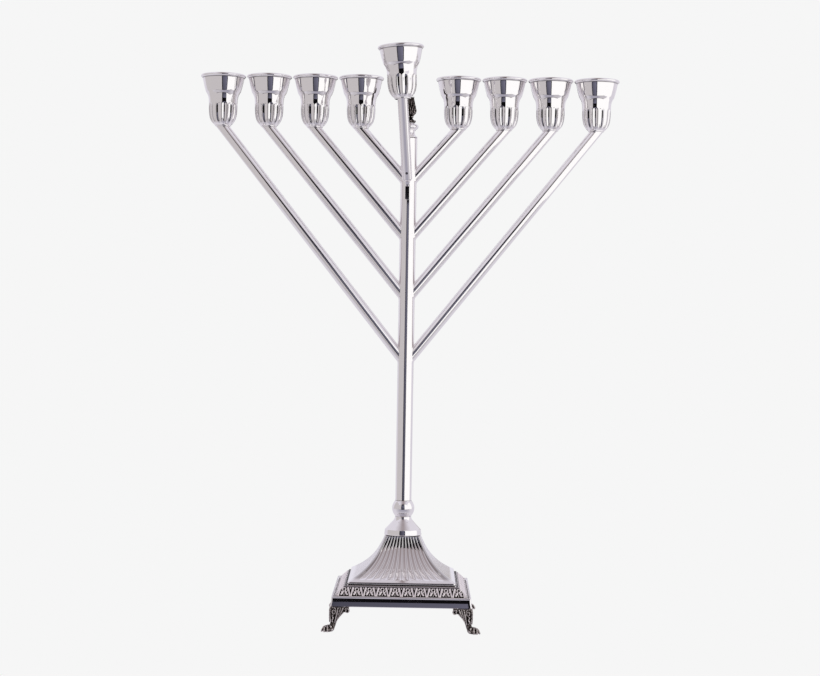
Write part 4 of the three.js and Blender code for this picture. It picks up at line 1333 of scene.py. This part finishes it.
def bud_casting():
    low, high = BUD_LOW[2], BUD_HIGH[2]
    core = profile(
        [(0.3, low + 0.1), (4.3, low + 0.1)],
        [(4.3, low + 0.1), (4.1, low + 1.2), (2.1, low + 4.0), (2.4, low + 5.8), (3.8, low + 8.0),
         (4.5, low + 9.8), (4.1, low + 12.2), (3.4, low + 15), (2.9, low + 17.6), (2.5, low + 19.4),
         (1.0, high - 0.3)],
        [(1.0, high - 0.3), (0.3, high - 0.3)], steps=5)
    parts = [circles(core, 24)]
    for k in range(6):
        turn = 2 * math.pi * (k + 0.3) / 6
        parts += bud_leaf(turn, low + 5.6, low + 13.6, (2.7, 4.5, 4.9, 4.5, 4.7), 0.4)
        parts += bud_leaf(turn + math.pi / 6, low + 11.0, high - 0.5, (4.0, 3.9, 3.5, 3.1, 3.1), 0.42)
        parts.append(pellet(around_axis(2.5, low + 4.6, turn), (0.75, 0.75, 0.7)))
    for k in range(10):
        turn = 2 * math.pi * k / 10
        parts.append(pellet(around_axis(4.1, low + 1.1, turn), (0.85, 0.85, 0.9)))
    return measure_relief(melt("finial_bud_mesh", parts), 0.5)


finished("finial_bud_cast", bud_casting(), oxidised_finial, ["finial_bud"])

# %% [markdown]
# ## The servant arm
# A plain tube with a small vent hole near its foot, so that air can leave while it is soldered. Its
# lower end is closed by a domed casting, whose flat tongue drops into the pocket on the stem.

# %% Servant arm
ARM_FOOT = np.array([-1.0, -11.6, 339.5])
ARM_RADIUS = 3.9
ARM_BORE = 3.1
VENT_RISE = 5.6  # distance of the vent hole up the arm
VENT_RADIUS = 1.0
VENT_TILT = 30  # degrees below level that the vent faces


def arm_axes():
    """Directions along the arm and across it, and its length."""
    direction = SERVANT_SEAT - ARM_FOOT
    length = np.linalg.norm(direction)
    direction = direction / length
    side = np.cross(direction, (0, 1, 0))
    side /= np.linalg.norm(side)
    return direction, side, np.cross(side, direction), length


def along_arm(outline, count=64):
    """Rings round the arm from (radius, distance up the arm) pairs."""
    direction, side, rise, _ = arm_axes()
    turn = full_turn(count)
    return [ARM_FOOT + direction * s + r * (np.cos(turn)[:, None] * side + np.sin(turn)[:, None] * rise)
            for r, s in outline]


def servant_arm():
    direction, _, _, length = arm_axes()
    rings = along_arm([(ARM_RADIUS, s) for s in np.linspace(0, length, 40)])
    inner = along_arm([(ARM_BORE, s) for s in np.linspace(length, 0, 12)])
    lean = math.radians(SERVANT_LEAN)
    seat_normal = np.array([math.sin(lean), 0, math.cos(lean)])
    for ring in (rings[-1], inner[0]):
        for point in ring:
            lift = (SERVANT_SEAT - TOUCH * seat_normal - point) @ seat_normal / (direction @ seat_normal)
            point += direction * lift
    tilt = math.radians(VENT_TILT)
    front = np.array([0.0, -math.cos(tilt), -math.sin(tilt)])
    across = np.array([1.0, 0.0, 0.0])
    down = np.cross(front, across)
    turn = full_turn(24)[:, None]
    circle = ARM_FOOT + direction * VENT_RISE + VENT_RADIUS * (np.cos(turn) * across + np.sin(turn) * down)
    drill = skin("vent_drill", [circle + front * s for s in (1.5, 6.0)])
    return cut_by("shamash_arm_mesh", skin("arm_blank", rings + inner, ring_shaped=True), drill)


finished("shamash_arm_tube", servant_arm(), polished_tube, ["shamash_arm"], body=SERVANT)

# %% [markdown]
# The casting is a dome that plugs the arm, and a flat bar that leaves it and narrows into the tongue.

# %% Servant hook
TONGUE_X = -0.75
TONGUE_Y = -8.0
POCKET_LOW, POCKET_HIGH = span("shamash_pocket")


def rounded_bar(levels, power, sides):
    """Oblong rings from (x, y, z, half width, half depth) levels; the lower the power, the squarer."""
    rings = []
    for x, y, z, half_width, half_depth in levels:
        ring = []
        for k in range(sides):
            angle = 2 * math.pi * (k + 0.5) / sides
            c, s = math.cos(angle), math.sin(angle)
            ring.append((x + half_width * math.copysign(abs(c) ** power, c),
                         y + half_depth * math.copysign(abs(s) ** power, s), z))
        rings.append(ring)
    return rings


def servant_hook():
    dome = through([(0.1, -3.0), (1.5, -2.8), (2.8, -2.1), (3.6, -1.1), (ARM_RADIUS, -0.1)], 5)
    plug = [np.array([ARM_BORE - GAP, 0.1]), np.array([ARM_BORE - GAP, 2.4])]
    top = POCKET_HIGH[2]
    tongue = rounded_bar([
        (TONGUE_X, TONGUE_Y, POCKET_LOW[2] + 1.0, 0.95, 0.4),
        (TONGUE_X, TONGUE_Y, POCKET_LOW[2] + 1.4, 1.2, 0.5),
        (TONGUE_X, TONGUE_Y, top + 0.4, 1.2, 0.5),
        (TONGUE_X, TONGUE_Y - 0.3, top + 1.6, 1.5, 0.75),
        (TONGUE_X, TONGUE_Y - 1.0, top + 3.2, 2.0, 1.1),
        (TONGUE_X - 0.1, TONGUE_Y - 2.0, top + 5.0, 2.3, 1.5),
    ], 0.45, 16)
    return shaded(joined("shamash_hook_mesh", [along_arm(dome + plug, 40), tongue]))


finished("shamash_hook_cast", servant_hook(), polished_tube, ["shamash_hook"], body=SERVANT)

# %% [markdown]
# ## The pocket
# A flat sheath with rounded edges, soldered upright to the front of the stem. It is open at both ends,
# so wax can be pushed out of it.


# %% Pocket
pocket_x, pocket_y = ((POCKET_LOW + POCKET_HIGH) / 2)[:2]
pocket_half = (POCKET_HIGH - POCKET_LOW) / 2
POCKET_SHEET = 0.7
pocket_levels = [(pocket_x, pocket_y, z, pocket_half[0] - inset, pocket_half[1] - inset) for inset, z in (
    (0.15, POCKET_LOW[2]), (0, POCKET_LOW[2] + 0.15), (0, POCKET_HIGH[2] - 0.25), (0.25, POCKET_HIGH[2]),
    (POCKET_SHEET, POCKET_HIGH[2] - 0.1), (POCKET_SHEET, POCKET_LOW[2] + 0.1))]
pocket = skin("shamash_pocket_mesh", rounded_bar(pocket_levels, 0.35, 32), ring_shaped=True)
finished("shamash_pocket_sheath", pocket, polished_tube, ["shamash_pocket"])

# %% [markdown]
# ## Cup screws
# A slotted brass screw holds each cup through its floor. One screw is modelled, its slot is sawn with a
# flat block, and the copies tree sets it in every cup.

# %% Cup screws
SCREW_HEAD = 3.2  # radius
SCREW_TOP = 3.9
SLOT_HALF_WIDTH = 0.35
SLOT_DEPTH = 0.7


def screw_mesh():
    outline = profile(
        [(0.05, -3.2), (0.9, -3.2)], [(0.9, -3.2), (1.2, -2.9)], [(1.2, -2.9), (1.2, 2.25)],
        [(1.2, 2.25), (SCREW_HEAD, 2.3)], [(SCREW_HEAD, 2.3), (SCREW_HEAD, 2.6)],
        [(SCREW_HEAD, 2.6), (2.9, 3.2), (2.2, 3.6), (1.2, 3.85), (0.05, SCREW_TOP)], steps=5)
    corners = [(-5, -SLOT_HALF_WIDTH), (5, -SLOT_HALF_WIDTH), (5, SLOT_HALF_WIDTH), (-5, SLOT_HALF_WIDTH)]
    saw = skin("slot_saw", [[(x, y, z) for x, y in corners] for z in (SCREW_TOP - SLOT_DEPTH, 6)])
    return cut_by("cup_screw", skin("screw_blank", circles(outline, 40)), saw)


screw = hidden_object("cup_screw_copy", screw_mesh())
screw_turns = [0.4 + 0.9 * k for k in range(len(cup_seats))]
screws = bake("cup_screws_mesh", point_cloud("screw_points", list(cup_seats.values()), screw_turns),
              copies_on_points, {"Copy": screw, "Lean": 0.0, "Finish": brass})
finished("cup_screws", screws, None, [f"cup_screw_{label}" for label in cup_seats])
servant_screw = bake("shamash_screw_mesh", point_cloud("servant_point", [SERVANT_SEAT], [0.7]),
                     copies_on_points, {"Copy": screw, "Lean": math.radians(SERVANT_LEAN), "Finish": brass})
finished("shamash_screw_slotted", servant_screw, None, ["shamash_screw"], SERVANT)
for helper in (tile, screw):
    bpy.data.objects.remove(helper)

# %% [markdown]
# ## The studio
# Polished silver shows only what stands round it, so the light is built as a small white tent: a
# light grey wall to the left, a bright wall to the right, a dark upright opening in front where the
# studio's camera stands, and a pale ground. The walls are seen only in reflections. They are pale cards
# that glow a little, which also makes the light soft.

# %% Studio ground and walls
scene.view_settings.view_transform = "Standard"


def glowing(name, colour, strength):
    material, tree = new_material(name)
    glow = put(tree, "ShaderNodeEmission", {"Color": linear(colour), "Strength": strength})
    put(tree, "ShaderNodeOutputMaterial", {"Surface": glow.outputs[0]})
    return material


def card(name, corners, material):
    """A flat card from four corners in metres, seen only in reflections."""
    mesh = bpy.data.meshes.new(name)
    mesh.from_pydata(corners, [], [(0, 1, 2, 3)])
    mesh.materials.append(material)
    panel = bpy.data.objects.new(name, mesh)
    scene.collection.objects.link(panel)
    panel.visible_camera = False
    panel.visible_shadow = False


def upright(name, x0, x1, z0, z1, y, material):
    """A card that stands across the view, at depth y."""
    card(name, [(x0, y, z0), (x1, y, z0), (x1, y, z1), (x0, y, z1)], material)


WALL_Y = -0.43
OPENING = (-0.165, 0.115, 0.0, 0.47)  # left, right, foot and top of the dark opening
BORDER = 0.03  # of black cloth, up both sides of the opening
LINTEL = 0.352  # the black cloth hangs down from the top of the opening to this height
SILL = 0.045
TENT = 0.62  # half the tent's width
SIDE_TOP = 0.7
BEHIND = 0.9  # depth of the cloth that hangs behind the lamp

grey_wall = glowing("tent_grey", "CBC7C9", 1.0)
white_wall = glowing("tent_white", "FFFFFF", 1.12)
black_cloth = glowing("opening_black", "100F12", 0.8)
left, right, foot_z, top_z = OPENING
upright("wall_front_left", -TENT, left, 0.0, top_z, WALL_Y, grey_wall)
upright("wall_front_right", right, TENT, 0.0, top_z, WALL_Y, white_wall)
upright("opening_dark", left, right, foot_z, top_z, WALL_Y - 0.002, black_cloth)


def dim_room():
    """What is seen through the opening: a dim room, lighter towards the right and upwards."""
    material, tree = new_material("opening_room")
    place = put(tree, "ShaderNodeTexCoord").outputs["Generated"]
    parts = put(tree, "ShaderNodeSeparateXYZ", {"Vector": place})
    mixed = put(tree, "ShaderNodeMath", {0: parts.outputs["X"], 1: 0.6}, operation="MULTIPLY")
    both = put(tree, "ShaderNodeMath", {0: parts.outputs["Z"], 1: 0.5, 2: mixed.outputs[0]},
               operation="MULTIPLY_ADD")
    colour = put(tree, "ShaderNodeValToRGB", {"Fac": both.outputs[0]})
    colour.color_ramp.elements[0].color = linear("34343E")
    colour.color_ramp.elements[1].color = linear("777689")
    glow = put(tree, "ShaderNodeEmission", {"Color": colour.outputs["Color"], "Strength": 1.0})
    put(tree, "ShaderNodeOutputMaterial", {"Surface": glow.outputs[0]})
    return material


upright("opening_room_view", left + BORDER, right - BORDER, SILL, LINTEL, WALL_Y, dim_room())
for name, x, back, cloth in (("wall_left", -TENT, 0.25, grey_wall), ("wall_right", TENT, 0.1, white_wall)):
    card(name, [(x, WALL_Y, 0), (x, back, 0), (x, back, SIDE_TOP), (x, WALL_Y, SIDE_TOP)], cloth)

# A dark and a grey cloth hang behind the lamp, so that it has some contrast when seen from the back.
upright("gap_behind", -0.1, 0.06, 0.15, 0.6, BEHIND, black_cloth)
upright("cloth_behind", 0.12, 0.4, 0.15, 0.6, BEHIND, grey_wall)

# %% [markdown]
# The top of the tent is the world itself. What it shows depends only on direction, so it costs nothing
# to trace, and one ramp turns from the warm grey over the opening to the pale cloth at the back. The
# floor is a glowing sheet of paper that shows in reflections, while the view has a plain pale ground.

# %% Sky of the tent and the floor
def tent_sky():
    """The world: a warm grey gap above the opening, pale cloth around it, plain for the camera."""
    world = bpy.data.worlds.new("tent_sky")
    scene.world = world
    world.use_nodes = True
    tree = world.node_tree
    tree.nodes.clear()
    direction = put(tree, "ShaderNodeTexCoord").outputs["Generated"]
    parts = put(tree, "ShaderNodeSeparateXYZ", {"Vector": direction})
    forward = put(tree, "ShaderNodeMath", {0: parts.outputs["Y"], 1: -1.0}, operation="MULTIPLY")
    swing = put(tree, "ShaderNodeMath", {0: parts.outputs["Z"], 1: forward.outputs[0]}, operation="ARCTAN2")
    turn = put(tree, "ShaderNodeMapRange", {
        "Value": swing.outputs[0], "From Min": 0.0, "From Max": math.pi})
    ramp_node = put(tree, "ShaderNodeValToRGB", {"Fac": turn.outputs["Result"]})
    ramp = ramp_node.color_ramp
    ramp.elements[0].color = linear("8C8283")
    ramp.elements[1].color = linear("E9E7F1")
    for position, colour in ((0.22, "938889"), (0.36, "A0969A"), (0.55, "B4ACB0"), (0.68, "E2DFEB")):
        stop = ramp.elements.new(position)
        stop.color = linear(colour)
    sideways = put(tree, "ShaderNodeMath", {0: parts.outputs["X"]}, operation="ABSOLUTE")
    beside = put(tree, "ShaderNodeMapRange", {
        "Value": sideways.outputs[0], "From Min": 0.08, "From Max": 0.5})
    cloth = put(tree, "ShaderNodeMix", {
        "Factor": beside.outputs["Result"], "A": ramp_node.outputs["Color"], "B": linear("E4E1EA")},
        data_type="RGBA")
    seen = put(tree, "ShaderNodeLightPath")
    plain = put(tree, "ShaderNodeMix", {
        "Factor": seen.outputs["Is Camera Ray"], "A": cloth.outputs["Result"], "B": linear("F6F6F6")},
        data_type="RGBA")
    background = put(tree, "ShaderNodeBackground", {"Color": plain.outputs["Result"], "Strength": 1.0})
    put(tree, "ShaderNodeOutputWorld", {"Surface": background.outputs[0]})


tent_sky()


def studio_floor():
    """The paper under the lamp as its reflections show it: grey in front, pale at the sides and behind."""
    far = 8  # metres from the middle to each edge
    material, tree = new_material("pale_floor")
    place = put(tree, "ShaderNodeTexCoord").outputs["Object"]
    parts = put(tree, "ShaderNodeSeparateXYZ", {"Vector": place})
    front = put(tree, "ShaderNodeMapRange", {
        "Value": parts.outputs["Y"], "From Min": 0.0, "From Max": -0.2})
    aside = put(tree, "ShaderNodeMath", {0: parts.outputs["X"]}, operation="ABSOLUTE")
    middle = put(tree, "ShaderNodeMapRange", {
        "Value": aside.outputs[0], "From Min": 0.12, "From Max": 0.3, "To Min": 1.0, "To Max": 0.0})
    paper = put(tree, "ShaderNodeMix", {
        "Factor": front.outputs["Result"], "A": linear("DEDBE4"), "B": linear("C9C6CC")}, data_type="RGBA")
    shade = put(tree, "ShaderNodeMath", {0: front.outputs["Result"], 1: middle.outputs["Result"]},
                operation="MULTIPLY")
    dimmed = put(tree, "ShaderNodeMix", {
        "Factor": shade.outputs[0], "A": paper.outputs["Result"], "B": linear("A9A7B5")}, data_type="RGBA")
    edge = put(tree, "ShaderNodeMapRange", {
        "Value": parts.outputs["Y"], "From Min": -0.37, "From Max": -0.385})
    edged = put(tree, "ShaderNodeMix", {
        "Factor": edge.outputs["Result"], "A": dimmed.outputs["Result"], "B": linear("5E555A")},
        data_type="RGBA")
    glow = put(tree, "ShaderNodeEmission", {"Color": edged.outputs["Result"], "Strength": 1.0})
    put(tree, "ShaderNodeOutputMaterial", {"Surface": glow.outputs[0]})
    mesh = bpy.data.meshes.new("studio_floor")
    mesh.from_pydata([(-far, -far, 0), (far, -far, 0), (far, far, 0), (-far, far, 0)], [], [(0, 1, 2, 3)])
    mesh.materials.append(material)
    floor = bpy.data.objects.new("studio_floor", mesh)
    scene.collection.objects.link(floor)
    floor.visible_camera = False


studio_floor()
